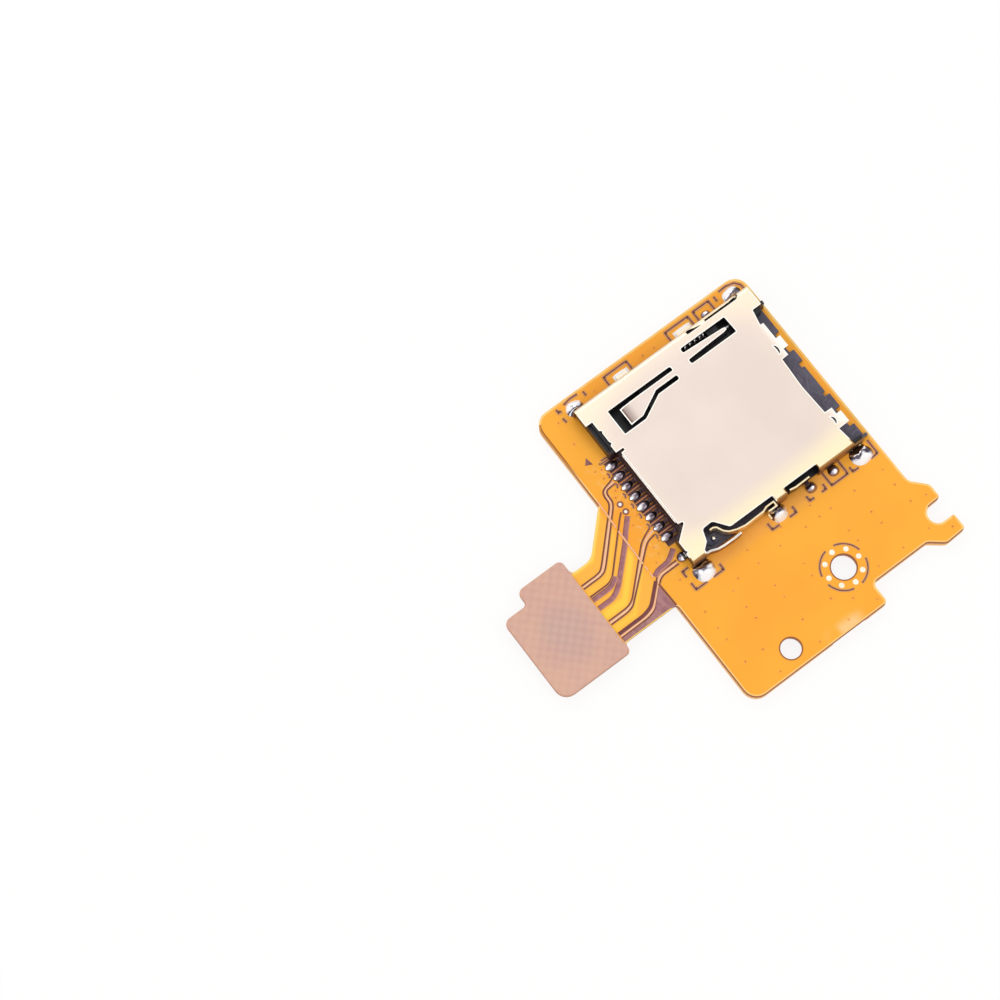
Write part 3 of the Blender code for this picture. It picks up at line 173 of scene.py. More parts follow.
class Finish(Tree):
    # a material, its shader and the nodes that the finishes share
    def __init__(self, name, roughness=0.5, metallic=0.0, gloss=0.5, coat=(0.0, 0.03)):
        self.material = bpy.data.materials.new(name)
        self.material.use_nodes = True
        super().__init__(self.material.node_tree)
        self.shader = self.tree.nodes["Principled BSDF"]
        self.set("Roughness", roughness)
        self.set("Metallic", metallic)
        self.set("Specular IOR Level", gloss)
        self.set("Coat Weight", coat[0])
        self.set("Coat Roughness", coat[1])

    def set(self, label, value):
        self.feed(self.shader.inputs[label], value)

    def coordinate(self, label):
        return self.node("ShaderNodeTexCoord", output=label)

    def board(self, scale=(1, 1, 1)):
        # object coordinates, counted in millimetres from the board's corner
        return self.node("ShaderNodeMapping", {
            "Vector": self.coordinate("Object"),
            "Location": tuple(boardCorner[k] * scale[k] for k in range(3)),
            "Scale": tuple(value / mm for value in scale),
        })

    def parts(self, vector):
        return self.node("ShaderNodeSeparateXYZ", {0: vector}, None)

    def axes(self):
        return self.parts(self.board())

    def strip(self):
        # the first is how far an edge faces the photographer, the second the share of the width
        return self.parts(self.coordinate("UV"))[:2]

    def facing(self):
        return self.parts(self.coordinate("Normal"))

    def reach(self, middle, sizes=(1.0, 1.0), power=2.0):
        # how far a point lies from a place on the board, in shares of the sizes
        x, y = self.axes()[:2]
        return ((x - middle[0]) / sizes[0]) ** power + ((y - middle[1]) / sizes[1]) ** power

    def noise(self, scale, detail=3.0, roughness=0.5, stretch=(1, 1, 1), distortion=0.0):
        return self.node("ShaderNodeTexNoise", {
            "Vector": self.board(stretch), "Scale": scale, "Detail": detail,
            "Roughness": roughness, "Distortion": distortion,
        })

    def mix(self, factor, *colours):
        # each is the output of a node, or a tone from 0 to 255 as read from a picture
        first, second = (item if isinstance(item, Value) else tone(*item) for item in colours)
        sockets = {0: factor, 6: first, 7: second}
        return self.node("ShaderNodeMix", sockets, 2, data_type="RGBA")

    def bump(self, height, depth):
        # height runs from 0 to 1, depth is in millimetres
        self.set("Normal", self.node("ShaderNodeBump", {
            "Height": height, "Strength": 1.0, "Distance": depth * mm,
        }))

    def done(self, colour, height, depth):
        self.set("Base Color", colour)
        self.bump(height, depth)
        return self.material


def tone(*channels):
    # the linear colour of a picture's tone
    shares = [channel / 255 for channel in channels]
    return [
        share / 12.92 if share <= 0.04045 else ((share + 0.055) / 1.055) ** 2.4 for share in shares
    ]


coverlayTones = {
    "board": (255, 176, 50),
    "boardDeep": (253, 167, 44),
    "paintedRowSheen": (253, 196, 122),
    "tail": (254, 182, 64),
    "tailYellow": (255, 206, 66),
    "worn": (255, 218, 160),
    "paintedLightBesideShell": (255, 176, 84),
    "cut": (132, 62, 20),
    "padSpot": (253, 192, 128),
    "padStain": (240, 150, 40),
}
yellowLanes = [(10.2, 10.7, 1.0), (13.95, 14.55, 1.0), (15.2, 15.6, 0.7), (12.1, 12.4, 0.4)]


def coverlayColour(finish):
    x, y = finish.axes()[:2]
    drift = finish.noise(0.16, 2.0, 0.4)
    fine = finish.noise(2.4, 4.0, 0.6)
    colour = finish.mix(drift.ramp(0.35, 0.68), coverlayTones["board"], coverlayTones["boardDeep"])
    # painted sheen: pinkish highlights in patches along the contact row
    row = y.hill(0.7, 2.3, 0.3) * x.hill(5.2, 14.6, 0.4)
    colour = colour.under(row * fine.ramp(0.5, 0.66) * 0.5, coverlayTones["paintedRowSheen"])
    onTail = y.fall(-0.5, 0.1)
    colour = colour.under(onTail, coverlayTones["tail"])
    lane = x + y.most(-2.7) + 2.7
    yellow = sum(lane.hill(low, high, 0.2) * share for low, high, share in yellowLanes)
    colour = colour.under(onTail * yellow, coverlayTones["tailYellow"])
    pad = y.fall(-5.2, -4.7)
    colour = colour.under(pad * fine.ramp(0.42, 0.62) * 0.7, coverlayTones["padSpot"])
    stain = pad * finish.noise(0.9).ramp(0.52, 0.66)
    colour = colour.under(stain * 0.8, coverlayTones["padStain"])
    rubbed = x.hill(24.5, 25.6, 0.4) * y.hill(7.1, 9.7, 0.6) * finish.noise(0.7, 0.0).ramp(0.2, 0.5)
    colour = colour.under(rubbed * 0.6, coverlayTones["worn"])
    # painted light: a brighter orange beside the shell's +X side, standing in for light against the
    # shell's shade there
    paintedLightBesideShell = x.hill(15.1, 16.3, 0.35) * y.hill(3.8, 14.6, 0.5)
    return colour.under(paintedLightBesideShell * 0.5, coverlayTones["paintedLightBesideShell"])


def makeCoverlay():
    finish = Finish("coverlay", 0.42, gloss=0.35)
    ripple = finish.noise(0.9)
    grain = finish.noise(14.0, 2.0)
    cut = abs(finish.facing()[2]).fall(0.3, 0.7)
    colour = coverlayColour(finish).under(cut, coverlayTones["cut"])
    finish.set("Roughness", grain.ramp(0.3, 0.7, 0.36, 0.5))
    pad = finish.axes()[1].fall(-5.2, -4.7) * finish.noise(2.2, 3.0, 0.6)
    return finish.done(colour, ripple * 0.5 + grain * 0.08 + pad * 1.6, 0.03)


def makeRim():
    # the film beyond the copper, with light painted as its edges slope: pale at the far edges; at
    # the near ones a painted shade line and a painted highlight line (amber and dark brown at low
    # x); toward is 2 around the holes
    finish = Finish("filmRim", 0.38, gloss=0.4)
    x, y = finish.axes()[:2]
    toward, inner = finish.strip()
    cloud = finish.noise(1.1)
    film = coverlayColour(finish)
    farEdgeLight = finish.mix(cloud.ramp(0.35, 0.65), (254, 194, 100), (252, 208, 122))
    line = finish.mix(x.ramp(3.5, 6.0), (214, 140, 28), (158, 88, 44))
    light = finish.mix(x.ramp(3.5, 6.0), (146, 80, 22), (255, 208, 128))
    nearEdgeShadeAndHighlight = line.under(inner.ramp(0.3, 0.5), light)
    colour = farEdgeLight.under(toward.ramp(0.55, 0.75), nearEdgeShadeAndHighlight)
    colour = colour.under(inner.ramp(0.75, 1.0), film)
    onTail = y.fall(-0.35, -0.15)
    colour = colour.under(onTail * 0.85, (254, 214, 104))
    colour = colour.under(y.fall(-4.5, -4.35), (228, 182, 158))
    ring = finish.mix(inner.ramp(0.35, 0.7), (150, 82, 40), film)
    return finish.done(colour.under(toward.ramp(1.4, 1.6), ring), cloud, 0.01)


def makeStripe(name, settings):
    # a line in the copper under the film: its own tones, an edge on each side painted darker or
    # lighter as the shade and highlight of the copper's relief, then coverlay
    finish = Finish(name, 0.4, gloss=0.35)
    share = finish.strip()[1]
    patchy = finish.noise(3.2, 3.0, 0.6)
    soft = settings["soft"]
    colour = finish.mix(patchy.ramp(0.3, 0.75), settings["core"], settings["deep"])
    for part, where in ("low", share), ("high", 1 - share):
        strength, paintedReliefTone = settings.get(part, settings["low"])
        side = where.hill(soft, soft * 2.2, soft * 0.6)
        colour = colour.under(side * strength, paintedReliefTone)
    outside = share.fall(0.0, soft) + share.ramp(1 - soft, 1.0)
    relief = abs(share - 0.5).ramp(0.1, 0.5)
    return finish.done(colour.under(outside, coverlayColour(finish)), relief, 0.02)


stripeSettings = {
    "line": {"core": (124, 60, 44), "deep": (98, 46, 44), "soft": 0.15,
             "low": (0.0, (124, 60, 44)), "high": (0.25, (246, 200, 160))},
    "band": {"core": (172, 116, 118), "deep": (146, 90, 96), "soft": 0.08,
             "low": (0.9, (112, 56, 48)), "high": (0.6, (206, 150, 140))},
    "darkBand": {"core": (122, 62, 60), "deep": (98, 48, 52), "soft": 0.08,
                 "low": (0.5, (98, 48, 52)), "high": (0.5, (160, 96, 88))},
    "trace": {"core": (250, 202, 178), "deep": (240, 184, 160), "soft": 0.3,
              "low": (0.5, (250, 192, 140))},
    "bracket": {"core": (140, 76, 58), "deep": (116, 58, 50), "soft": 0.12,
                "low": (0.75, (252, 204, 150))},
    "comb": {"core": (84, 44, 44), "deep": (58, 32, 36), "soft": 0.05,
             "low": (0.5, (128, 70, 58))},
    "combTrace": {"core": (228, 150, 110), "deep": (206, 128, 104), "soft": 0.12,
                  "low": (0.2, (120, 62, 52))},
}


def makeShellSheet():
    finish = Finish("nickelSheet", 0.34, 0.85)
    x, y, z = finish.axes()
    nx, ny, nz = finish.facing()
    # painted sheen: paler and yellower towards the plate's border, and more so on its +X side
    reach = finish.reach((8.2, 10.1), (6.9, 8.2), 4.0)
    cloud = finish.noise(0.22, 2.0)
    paintedEdgeSheen = (reach + cloud * 0.5 - 0.25).ramp(0.2, 1.1)
    plate = finish.mix(cloud.ramp(0.3, 0.7), (231, 215, 205), (226, 210, 200))
    plate = plate.under(paintedEdgeSheen * 0.8, (250, 233, 206))
    plate = plate.under(x.ramp(12.8, 14.9) * 0.65, (254, 240, 194))
    tabs = y.ramp(16.6, 17.3) * x.hill(4.2, 13.6, 0.4)
    plate = plate.under(tabs, (254, 247, 240))
    brushed = finish.noise(1.0, 3.0, 0.6, (26.0, 0.7, 1.0))
    spots = finish.noise(7.0, 4.0, 0.65)
    plate = plate.under(brushed.ramp(0.55, 0.8) * 0.18, (226, 208, 194))
    # painted shade on the tongue's bent-down tip
    paintedTongueShade = z.fall(2.05, 2.3) * nz.ramp(0.6, 0.8) * y.fall(8.0, 9.0) * x.ramp(1.36, 1.44)
    plate = plate.under(paintedTongueShade, (112, 88, 80))
    # painted shade and dark reflection on the +X-facing bend
    paintedBendShade = nx.ramp(0.12, 0.4) * (1 - y.hill(3.7, 7.2, 0.1))
    plate = plate.under(paintedBendShade, (158, 116, 62))
    # painted shade and dark reflection on the upright walls
    paintedWallShade = abs(nz).fall(0.2, 0.75)
    plate = plate.under(paintedWallShade, (150, 112, 74))
    # painted shade, darker still on the rear-facing wall
    paintedRearShade = ny.fall(-0.9, -0.4)
    plate = plate.under(paintedRearShade * 0.8, (92, 62, 52))
    finish.set("Roughness", spots.ramp(0.3, 0.75, 0.28, 0.42))
    return finish.done(plate, brushed * 0.6 + spots * 0.4, 0.0022)


def makeShellEdge():
    # painted highlight along the bevelled cut edges, with painted shade where they face +X and at
    # their low end
    finish = Finish("cutEdgeHighlight", 0.3, 0.7)
    cloud = finish.noise(2.0, 2.0)
    bright = finish.mix(cloud.ramp(0.3, 0.7), (255, 252, 244), (255, 244, 226))
    bright = bright.under(finish.facing()[0].ramp(0.3, 0.5), (176, 134, 70))
    x, z = finish.axes()[::2]
    low = z.fall(2.12, 2.22) * x.ramp(1.36, 1.44)
    return finish.done(bright.under(low, (136, 100, 70)), cloud, 0.002)


def makeTrim():
    # a painted highlight along the shell's cut edges, where the stamped edges are rounded
    finish = Finish("shellTrimHighlight", 0.3, 0.5)
    x, y = finish.axes()[:2]
    cloud = finish.noise(2.0, 2.0)
    bright = finish.mix(cloud.ramp(0.3, 0.7), (255, 253, 248), (255, 248, 236))
    # painted shade on the +X bend, and a softer cream towards the -X edge
    paintedBendShade = x.ramp(14.7, 14.8) * (1 - y.hill(3.6, 9.9, 0.1))
    bright = bright.under(x.fall(1.75, 1.95), (238, 220, 188))
    return finish.done(bright.under(paintedBendShade, (150, 108, 56)), cloud, 0.002)


def makeBlackPlastic():
    finish = Finish("blackPlastic", 0.36, gloss=0.35, coat=(0.06, 0.2))
    x, y, z = finish.axes()
    nz = finish.facing()[2]
    cloud = finish.noise(1.2)
    grain = finish.noise(24.0, 2.0)
    flow = (finish.noise(0.55, 2.0, 0.5, distortion=1.6) * 34.0).sine()
    black = finish.mix(cloud.ramp(0.3, 0.7), (14, 14, 19), (29, 30, 38))
    # painted light: slate grey on the up-facing faces in the mouth and the trench, with painted
    # glints in swirls
    paintedTopLight = finish.mix(cloud.ramp(0.3, 0.7), (78, 72, 88), (94, 90, 106))
    paintedTopLight = paintedTopLight.under(flow.ramp(0.8, 1.0) * 0.35, (128, 122, 138))
    mouth = y.ramp(15.9, 16.3) * z.fall(1.15, 1.3)
    trench = x.ramp(12.7, 13.0) * y.hill(3.9, 10.6, 0.2) * z.fall(1.7, 1.9)
    black = black.under(nz.ramp(0.8, 0.98) * mouth.most(trench * 0.8), paintedTopLight)
    shelf = y.fall(3.6, 3.9) * x.hill(5.4, 13.2, 0.1)
    brown = finish.mix(y.hill(3.42, 3.6, 0.05), (52, 34, 36), (126, 98, 92))
    finish.set("Roughness", grain.ramp(0.3, 0.7, 0.3, 0.46))
    return finish.done(black.under(shelf * 0.9, brown), grain, 0.003)


solderSettings = {
    "solder": {"uneven": 1.3, "foot": 0.5},
    "ballSolder": {"uneven": 0.5, "foot": 0.8, "pale": (168, 158, 176), "bright": 1.0},
    "rowSolder": {"uneven": 0.5, "foot": 0.8, "pale": (140, 126, 134), "bright": 1.05},
}


def makeSolder(name, settings):
    # smooth, with painted reflection: white on its outer side, dark grey with a white streak on the
    # side to the shell;
    # a ball has one painted bright spot instead
    finish = Finish(name, 0.13, 1.0)
    nx, ny, nz = finish.facing()
    outward = nx * finish.axes()[0].ramp(5.0, 11.0, -1.0, 1.0)
    flow = finish.noise(1.1, 2.0, 0.4, distortion=0.6)
    lean = (ny * -1.0 if name == "rowSolder" else outward) + (flow - 0.5) * settings["uneven"]
    dark = finish.mix(flow.ramp(0.4, 0.6), (74, 66, 76), (120, 112, 124))
    if "pale" in settings:
        colour = dark.under(lean.ramp(-0.35, 0.3), settings["pale"])
        paintedSpotHighlight = (lean * 0.5 + nz).hill(settings["bright"], 1.16, 0.05)
        colour = colour.under(paintedSpotHighlight, (255, 255, 255))
    else:
        colour = dark.under(lean.ramp(0.0, 0.2), (254, 254, 255))
        colour = colour.under(lean.hill(-0.42, -0.26, 0.05), (250, 250, 253))
        colour = colour.under(lean.hill(0.12, 0.24, 0.06) * 0.6, (170, 164, 178))
        finish.set("Metallic", lean.ramp(0.1, 0.4, 1.0, 0.25))
    foot = nz.fall(0.1, 0.45) * settings["foot"]
    return finish.done(colour.under(foot, (104, 76, 66)), flow, 0.012)


def makePlated(name, first, second):
    finish = Finish(name, 0.28, 0.95)
    x, y = finish.axes()[:2]
    cloud = finish.noise(3.0)
    lines = finish.noise(2.0, 2.0, 0.5, (1.0, 16.0, 1.0))
    metal = finish.mix(cloud.ramp(0.3, 0.7), first, second)
    # painted shade and dark reflection on the contact tails under the shell's rear edge
    tails = y.hill(2.3, 3.7, 0.08) * x.fall(14.6, 15.0)
    paintedTailShade = finish.mix(cloud.ramp(0.3, 0.7), (60, 44, 48), (96, 76, 80))
    finish.set("Roughness", lines.ramp(0.3, 0.7, 0.2, 0.36))
    return finish.done(metal.under(tails, paintedTailShade), lines, 0.002)


def makeSwitchPlate():
    # painted shade: dark at its wide end, down in its pocket, with one painted glint on its raised
    # contact point
    finish = Finish("switchPlate", 0.3, 0.8)
    cloud = finish.noise(3.0)
    paintedGlintReach = finish.reach((14.48, 4.91))
    dark = finish.mix(cloud.ramp(0.3, 0.7), (58, 58, 72), (84, 84, 98))
    colour = dark.under(paintedGlintReach.fall(0.012, 0.026), (255, 250, 240))
    foot = finish.axes()[1].fall(2.9, 3.3)
    return finish.done(colour.under(foot, (226, 216, 208)), cloud, 0.003)


def makeLeaf():
    # bright along its edge, with painted shade where its foot goes down into the solder
    finish = Finish("leafSpring", 0.28, 0.9)
    y, z = finish.axes()[1:]
    cloud = finish.noise(3.0)
    bright = finish.mix(cloud.ramp(0.3, 0.7), (255, 240, 204), (246, 222, 176))
    foot = y.ramp(9.2, 9.45) * z.fall(1.85, 2.05)
    return finish.done(bright.under(foot, (70, 48, 48)), cloud, 0.003)


backingPitch = 0.34
padPitch = 0.4


def weave(finish, pitch):
    x, y = finish.axes()[:2]
    return (x * (math.pi / pitch)).sine() * (y * (math.pi / pitch)).sine() * 0.5 + 0.5


def makeBacking():
    finish = Finish("wovenBacking", coat=(0.08, 0.35))
    x, y, z = finish.axes()
    cloth = weave(finish, backingPitch)
    cloud = finish.noise(0.3)
    grain = finish.noise(5.0)
    colour = finish.mix(x.ramp(2.0, 15.0), (220, 152, 98), (234, 174, 142))
    colour = colour.under((x - y * 0.4).ramp(17.0, 24.0) * 0.7, (218, 148, 92))
    colour = colour.under(cloud.ramp(0.4, 0.7) * 0.35, (222, 150, 96))
    worn = cloth * finish.noise(0.5, 2.0).ramp(0.3, 0.6)
    colour = colour.under(worn * 0.35, (246, 204, 176))
    inHole = finish.reach(screwHole).fall(1.3, 1.6)
    inHole = inHole.most(finish.reach(locatingHole).fall(0.9, 1.2))
    side = finish.mix(z.ramp(0.3, 0.56), (246, 186, 92), (222, 148, 58))
    side = side.under(inHole, (214, 112, 38))
    flatness = abs(finish.facing()[2]).ramp(0.3, 0.7)
    finish.set("Roughness", grain.ramp(0.3, 0.7, 0.4, 0.6))
    relief = cloth * (x.ramp(4.0, 16.0) * 0.8 + 0.2) + grain * 0.15
    return finish.done(side.under(flatness, colour), relief, 0.02)


def makePaleBacking():
    finish = Finish("paleBacking", 0.55, gloss=0.3)
    cloth = weave(finish, padPitch)
    cloud = finish.noise(0.55, 3.0, 0.6)
    grain = finish.noise(6.0)
    middle = finish.reach((13.6, -7.2), (2.6, 2.0))
    colour = finish.mix(middle.ramp(0.1, 1.4), (198, 162, 152), (214, 169, 148))
    colour = colour.under(cloud.ramp(0.42, 0.62) * 0.5, (204, 158, 150))
    finish.set("Roughness", grain.ramp(0.3, 0.7, 0.48, 0.62))
    colour = colour.under(cloth * 0.3, (228, 188, 168))
    return finish.done(colour, cloth * 0.8 + grain * 0.2, 0.012)


def makeBackRim():
    # the golden border of the stiffener's lower face
    finish = Finish("backRim", 0.45)
    inner = finish.strip()[1]
    cloud = finish.noise(1.4)
    gold = finish.mix(cloud.ramp(0.35, 0.65), (246, 182, 84), (240, 170, 82))
    return finish.done(gold.under(inner.ramp(0.4, 1.0), (226, 160, 112)), cloud, 0.008)


def makeFilm():
    # the patch on the stiffener, with faint blue-grey spots where the copper shows through
    finish = Finish("backFilm", 0.5)
    y = finish.axes()[1]
    cloud = finish.noise(0.8)
    colour = finish.mix(cloud.ramp(0.35, 0.7), (226, 162, 130), (218, 152, 118))
    spots = finish.noise(1.0, 0.0).ramp(0.48, 0.7) * y.fall(1.4, 2.6)
    colour = colour.under(spots * 0.7, (158, 124, 118))
    yellow = finish.noise(0.9, 0.0, 0.5, (1.0, 1.6, 3.0)).ramp(0.52, 0.7) * y.fall(0.8, 1.6)
    colour = colour.under(yellow * 0.7, (238, 178, 96))
    return finish.done(colour, weave(finish, backingPitch), 0.006)


def makeMottled(name, first, second, roughness, metallic=0.0):
    finish = Finish(name, roughness, metallic)
    cloud = finish.noise(3.0)
    return finish.done(finish.mix(cloud.ramp(0.3, 0.7), first, second), cloud, 0.008)


finishes = {
    "coverlay": makeCoverlay(),
    "rim": makeRim(),
    "sheet": makeShellSheet(),
    "cutEdge": makeShellEdge(),
    "trimHighlight": makeTrim(),
    "plastic": makeBlackPlastic(),
    "plated": makePlated("platedContact", (236, 214, 178), (214, 188, 150)),
    "silver": makePlated("silverContact", (240, 236, 228), (214, 208, 200)),
    "leaf": makeLeaf(),
    "steel": makeMottled("springSteel", (216, 216, 220), (186, 184, 190), 0.24, 1.0),
    "switchPlate": makeSwitchPlate(),
    "backing": makeBacking(),
    "paleBacking": makePaleBacking(),
    "backRim": makeBackRim(),
    "film": makeFilm(),
    "filmSeam": makeMottled("filmSeam", (196, 124, 62), (180, 110, 56), 0.5),
    "padMark": makeMottled("plugPadMark", (120, 54, 40), (92, 40, 34), 0.45),
    "barePad": makeMottled("barePad", (255, 250, 236), (254, 238, 212), 0.4, 0.2),
    "land": makeMottled("whiteLand", (255, 254, 250), (250, 247, 240), 0.4),
    "mark": makeMottled("mauveMark", (142, 88, 86), (124, 70, 70), 0.45),
    "fold": makeMottled("mauveFold", (176, 124, 124), (150, 98, 104), 0.45),
    "dimple": makeMottled("viaDimple", (196, 112, 44), (176, 92, 40), 0.45),
    "lip": makeMottled("viaLip", (254, 186, 92), (250, 172, 70), 0.4),
}
for finishName, finishSettings in solderSettings.items():
    finishes[finishName] = makeSolder(finishName, finishSettings)
for finishName, finishSettings in stripeSettings.items():
    finishes[finishName] = makeStripe(finishName + "Stripe", finishSettings)
print("finishes made")


def addPiece(name, mesh, settings, replaced=()):
    piece = addObject(name, mesh)
    if not mesh.materials:
        mesh.materials.append(finishes[settings["finish"]])
    body = settings.get("body", "socket")
    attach(piece, body)
    if replaced:
        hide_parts(*replaced)


def finishMesh(name, bm):
    mesh = bpy.data.meshes.new(name)
    bm.to_mesh(mesh)
    bm.free()
    return mesh


def smoothed(mesh, sharpAngle):
    mesh.shade_smooth()
    mesh.set_sharp_from_angle(angle=math.radians(sharpAngle))
    return mesh


weldReach = 2e-7  # in metres


def mergedCopy(node):
    # the shape of a CAD piece, its doubled corners joined
    bm = bmesh.new()
    bm.from_mesh(nodes[node].data)
    bmesh.ops.remove_doubles(bm, verts=bm.verts, dist=weldReach)
    return bm


def applied(holder):
    # the holder's shape with its modifiers, as a plain mesh; the holder goes
    graph = bpy.context.evaluated_depsgraph_get()
    graph.update()
    mesh = bpy.data.meshes.new_from_object(holder.evaluated_get(graph), depsgraph=graph)
    holder.modifiers.clear()
    bpy.data.objects.remove(holder)
    return mesh


bevelFrom = 40  # degrees between two faces
mostCorners = 40


def dressNode(name, settings):
    # a copy of a CAD piece, with small rounded edges and smooth bends
    bm = mergedCopy(settings["node"])
    bmesh.ops.dissolve_limit(bm, angle_limit=math.radians(0.5), verts=bm.verts, edges=bm.edges)
    large = [face for face in bm.faces if len(face.verts) > mostCorners]
    bmesh.ops.triangulate(bm, faces=large)
    for face in bm.faces:
        face.material_index = 0
    mesh = finishMesh(name + "Copy", bm)
    for finishName in settings["finish"]:
        mesh.materials.append(finishes[finishName])
    holder = addObject(name + "Holder", mesh)
    if "edge" in settings:
        bevel = holder.modifiers.new("edge", "BEVEL")
        bevel.width = settings["edge"] * mm
        bevel.segments = 2
        bevel.limit_method = "ANGLE"
        bevel.angle_limit = math.radians(bevelFrom)
        bevel.miter_outer = "MITER_ARC"
        bevel.material = len(settings["finish"]) - 1
    result = smoothed(applied(holder), settings.get("smooth", 8))
    result.name = name
    addPiece(name, result, settings, (settings["node"],))


dressed = {
    "socketShell": {"node": "shell", "slot": "nickel_sheet", "edge": 0.06,
                    "finish": ["sheet", "cutEdge"]},
    "socketHousing": {"node": "housing", "slot": "plastic", "edge": 0.015, "finish": ["plastic"]},
    "ejectSlider": {"node": "slider", "body": "slider", "slot": "plastic", "edge": 0.02,
                    "finish": ["plastic"]},
    "ejectSpring": {"node": "slider_spring", "slot": "spring_steel", "smooth": 75,
                    "finish": ["steel"]},
    "plugBody": {"node": "plug_body", "slot": "plastic", "edge": 0.02, "finish": ["plastic"]},
    "flexBoard": {"node": "flex_circuit", "smooth": 40, "finish": ["coverlay"]},
    "boardBacking": {"node": "board_stiffener", "slot": "backing", "smooth": 40,
                     "finish": ["backing"]},
    "tailPatch": {"node": "pad_stiffener", "slot": "pale_backing", "edge": 0.02,
                  "finish": ["paleBacking"]},
    "filmPatch": {"node": "back_film", "slot": "pale_backing", "smooth": 40, "finish": ["film"]},
}
for pieceName, pieceSettings in dressed.items():
    dressNode(pieceName, pieceSettings)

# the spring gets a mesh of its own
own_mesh(bpy.data.objects["ejectSpring"])

plainFinishes = {
    "cam_pin": "steel", "switch_leaf": "leaf", "switch_contact": "leaf",
    "switch_plate": "switchPlate", "plug_nail_1": "silver", "plug_nail_2": "silver",
}
for k in range(1, 9):
    plainFinishes["contact_%d" % k] = "plated"
    plainFinishes["plug_contact_a%d" % k] = "silver"
    plainFinishes["plug_contact_b%d" % k] = "silver"
for node, finishName in plainFinishes.items():
    nodes[node].data.materials.clear()
    nodes[node].data.materials.append(finishes[finishName])
print("CAD pieces dressed")

photographer = Vector((0.64, -0.77))  # the way to the camera over the board
holeReach = 1.3
levelNormal = 0.88


def middleOf(places):
    return sum(places, Vector()) / max(1, len(places))


def layRim(name, settings):
    # the outer strip of a piece's upper or lower face; v runs from its outline inwards, and u tells
    # how far the edge faces the photographer
    bm = mergedCopy(settings["node"])
    side = settings["side"]
    limit = (settings["level"] * side - settings["depth"]) * mm
    others = [face for face in bm.faces
              if face.calc_center_median().z * side < limit or face.normal.z * side < levelNormal]
    bmesh.ops.delete(bm, geom=others, context="FACES")
    bmesh.ops.dissolve_limit(bm, angle_limit=0.01, verts=bm.verts, edges=bm.edges)
    uvLayer = bm.loops.layers.uv.new("strip")
    grown = bmesh.ops.inset_region(
        bm, faces=bm.faces[:], thickness=settings["width"] * mm, use_boundary=True,
        use_even_offset=True,
    )
    band = set(grown["faces"])
    inner = {vert for face in bm.faces if face not in band for vert in face.verts}
    for face in band:
        outside = middleOf([vert.co for vert in face.verts if vert not in inner])
        outward = outside - middleOf([vert.co for vert in face.verts if vert in inner])
        toward = 0.5 + 0.5 * outward.xy.normalized().dot(photographer)
        middle = face.calc_center_median()
        for hole in settings.get("holes", ()):
            if (at(*hole, settings["level"]) - middle).length < holeReach * mm:
                toward = 2.0
        for corner in face.loops:
            corner[uvLayer].uv = (toward, 1.0 if corner.vert in inner else 0.0)
    bm.normal_update()
    others = [face for face in bm.faces if face not in band or face.normal.z * side < 0.5]
    bmesh.ops.delete(bm, geom=others, context="FACES")
    bmesh.ops.translate(bm, verts=bm.verts, vec=(0, 0, settings["lift"] * side * mm))
    addPiece(name, finishMesh(name, bm), settings)


layRim("filmRim", {
    "node": "flex_circuit", "level": flexTop, "side": 1, "width": 0.18, "lift": 0.004, "depth": 0.1,
    "holes": [screwHole, locatingHole], "finish": "rim",
})
layRim("shellTrimHighlight", {
    "node": "shell", "level": 2.3, "side": 1, "width": 0.08, "lift": 0.002, "depth": 0.5,
    "finish": "trimHighlight", "slot": "nickel_sheet",
})
layRim("backRim", {
    "node": "board_stiffener", "level": 0.0, "side": -1, "width": 0.13, "lift": 0.002,
    "depth": 0.02, "finish": "backRim", "slot": "backing",
})
print("rims laid")

sharpest = 0.35  # keeps a ribbon's corners from running out to points


def ribbon(bm, uvLayer, path, width, z, below):
    # a flat strip along a path of board places; v runs over its width
    rows = []
    for index, here in enumerate(path):
        sides = []
        for first in (index - 1, index):
            if 0 <= first < len(path) - 1:
                step = (path[first + 1] - path[first]).normalized()
                sides.append(Vector((-step.y, step.x)))
        middle = sum(sides, Vector((0, 0))).normalized()
        spread = middle * (width / 2 / max(sharpest, middle.dot(sides[0])))
        rows.append([bm.verts.new(at(*place, z)) for place in (here + spread, here - spread)])
    for (left, right), (nextLeft, nextRight) in zip(rows, rows[1:]):
        loop = [left, right, nextRight, nextLeft]
        places = [(0, 1), (0, 0), (1, 0), (1, 1)]
        if below:
            loop.reverse()
            places.reverse()
        face = bm.faces.new(loop)
        for corner, place in zip(face.loops, places):
            corner[uvLayer].uv = place


easeSteps = 4
easeShare = 0.45  # of the way to the next corner, at most


def easedPath(path, radius):
    # the path with each inner corner eased by a short curve
    points = [Vector(path[0])]
    for index in range(1, len(path) - 1):
        here = Vector(path[index])
        before = Vector(path[index - 1]) - here
        after = Vector(path[index + 1]) - here
        reach = min(radius, before.length * easeShare, after.length * easeShare)
        start = here + before.normalized() * reach
        end = here + after.normalized() * reach
        for step in range(easeSteps + 1):
            share = step / easeSteps
            points.append(start.lerp(here, share).lerp(here.lerp(end, share), share))
    points.append(Vector(path[-1]))
    return points


layerStep = 0.0006


def layRibbons(name, settings):
    # each path lies a hair above the one before it
    bm = bmesh.new()
    uvLayer = bm.loops.layers.uv.new("strip")
    level = settings.get("level", flexTop)
    corner = settings.get("corner", 0.1)
    below = level < flexTop
    sign = -1 if below else 1
    for index, path in enumerate(settings["paths"]):
        z = level + sign * (settings["lift"] + layerStep * index)
        ribbon(bm, uvLayer, easedPath(path, corner), settings["width"], z, below)
    addPiece(name, finishMesh(name, bm), settings)


def arcPath(middle, radius, start, sweep, count=14):
    angles = [math.radians(start + sweep * k / count) for k in range(count + 1)]
    x, y = middle
    return [(x + radius * math.cos(a), y + radius * math.sin(a)) for a in angles]


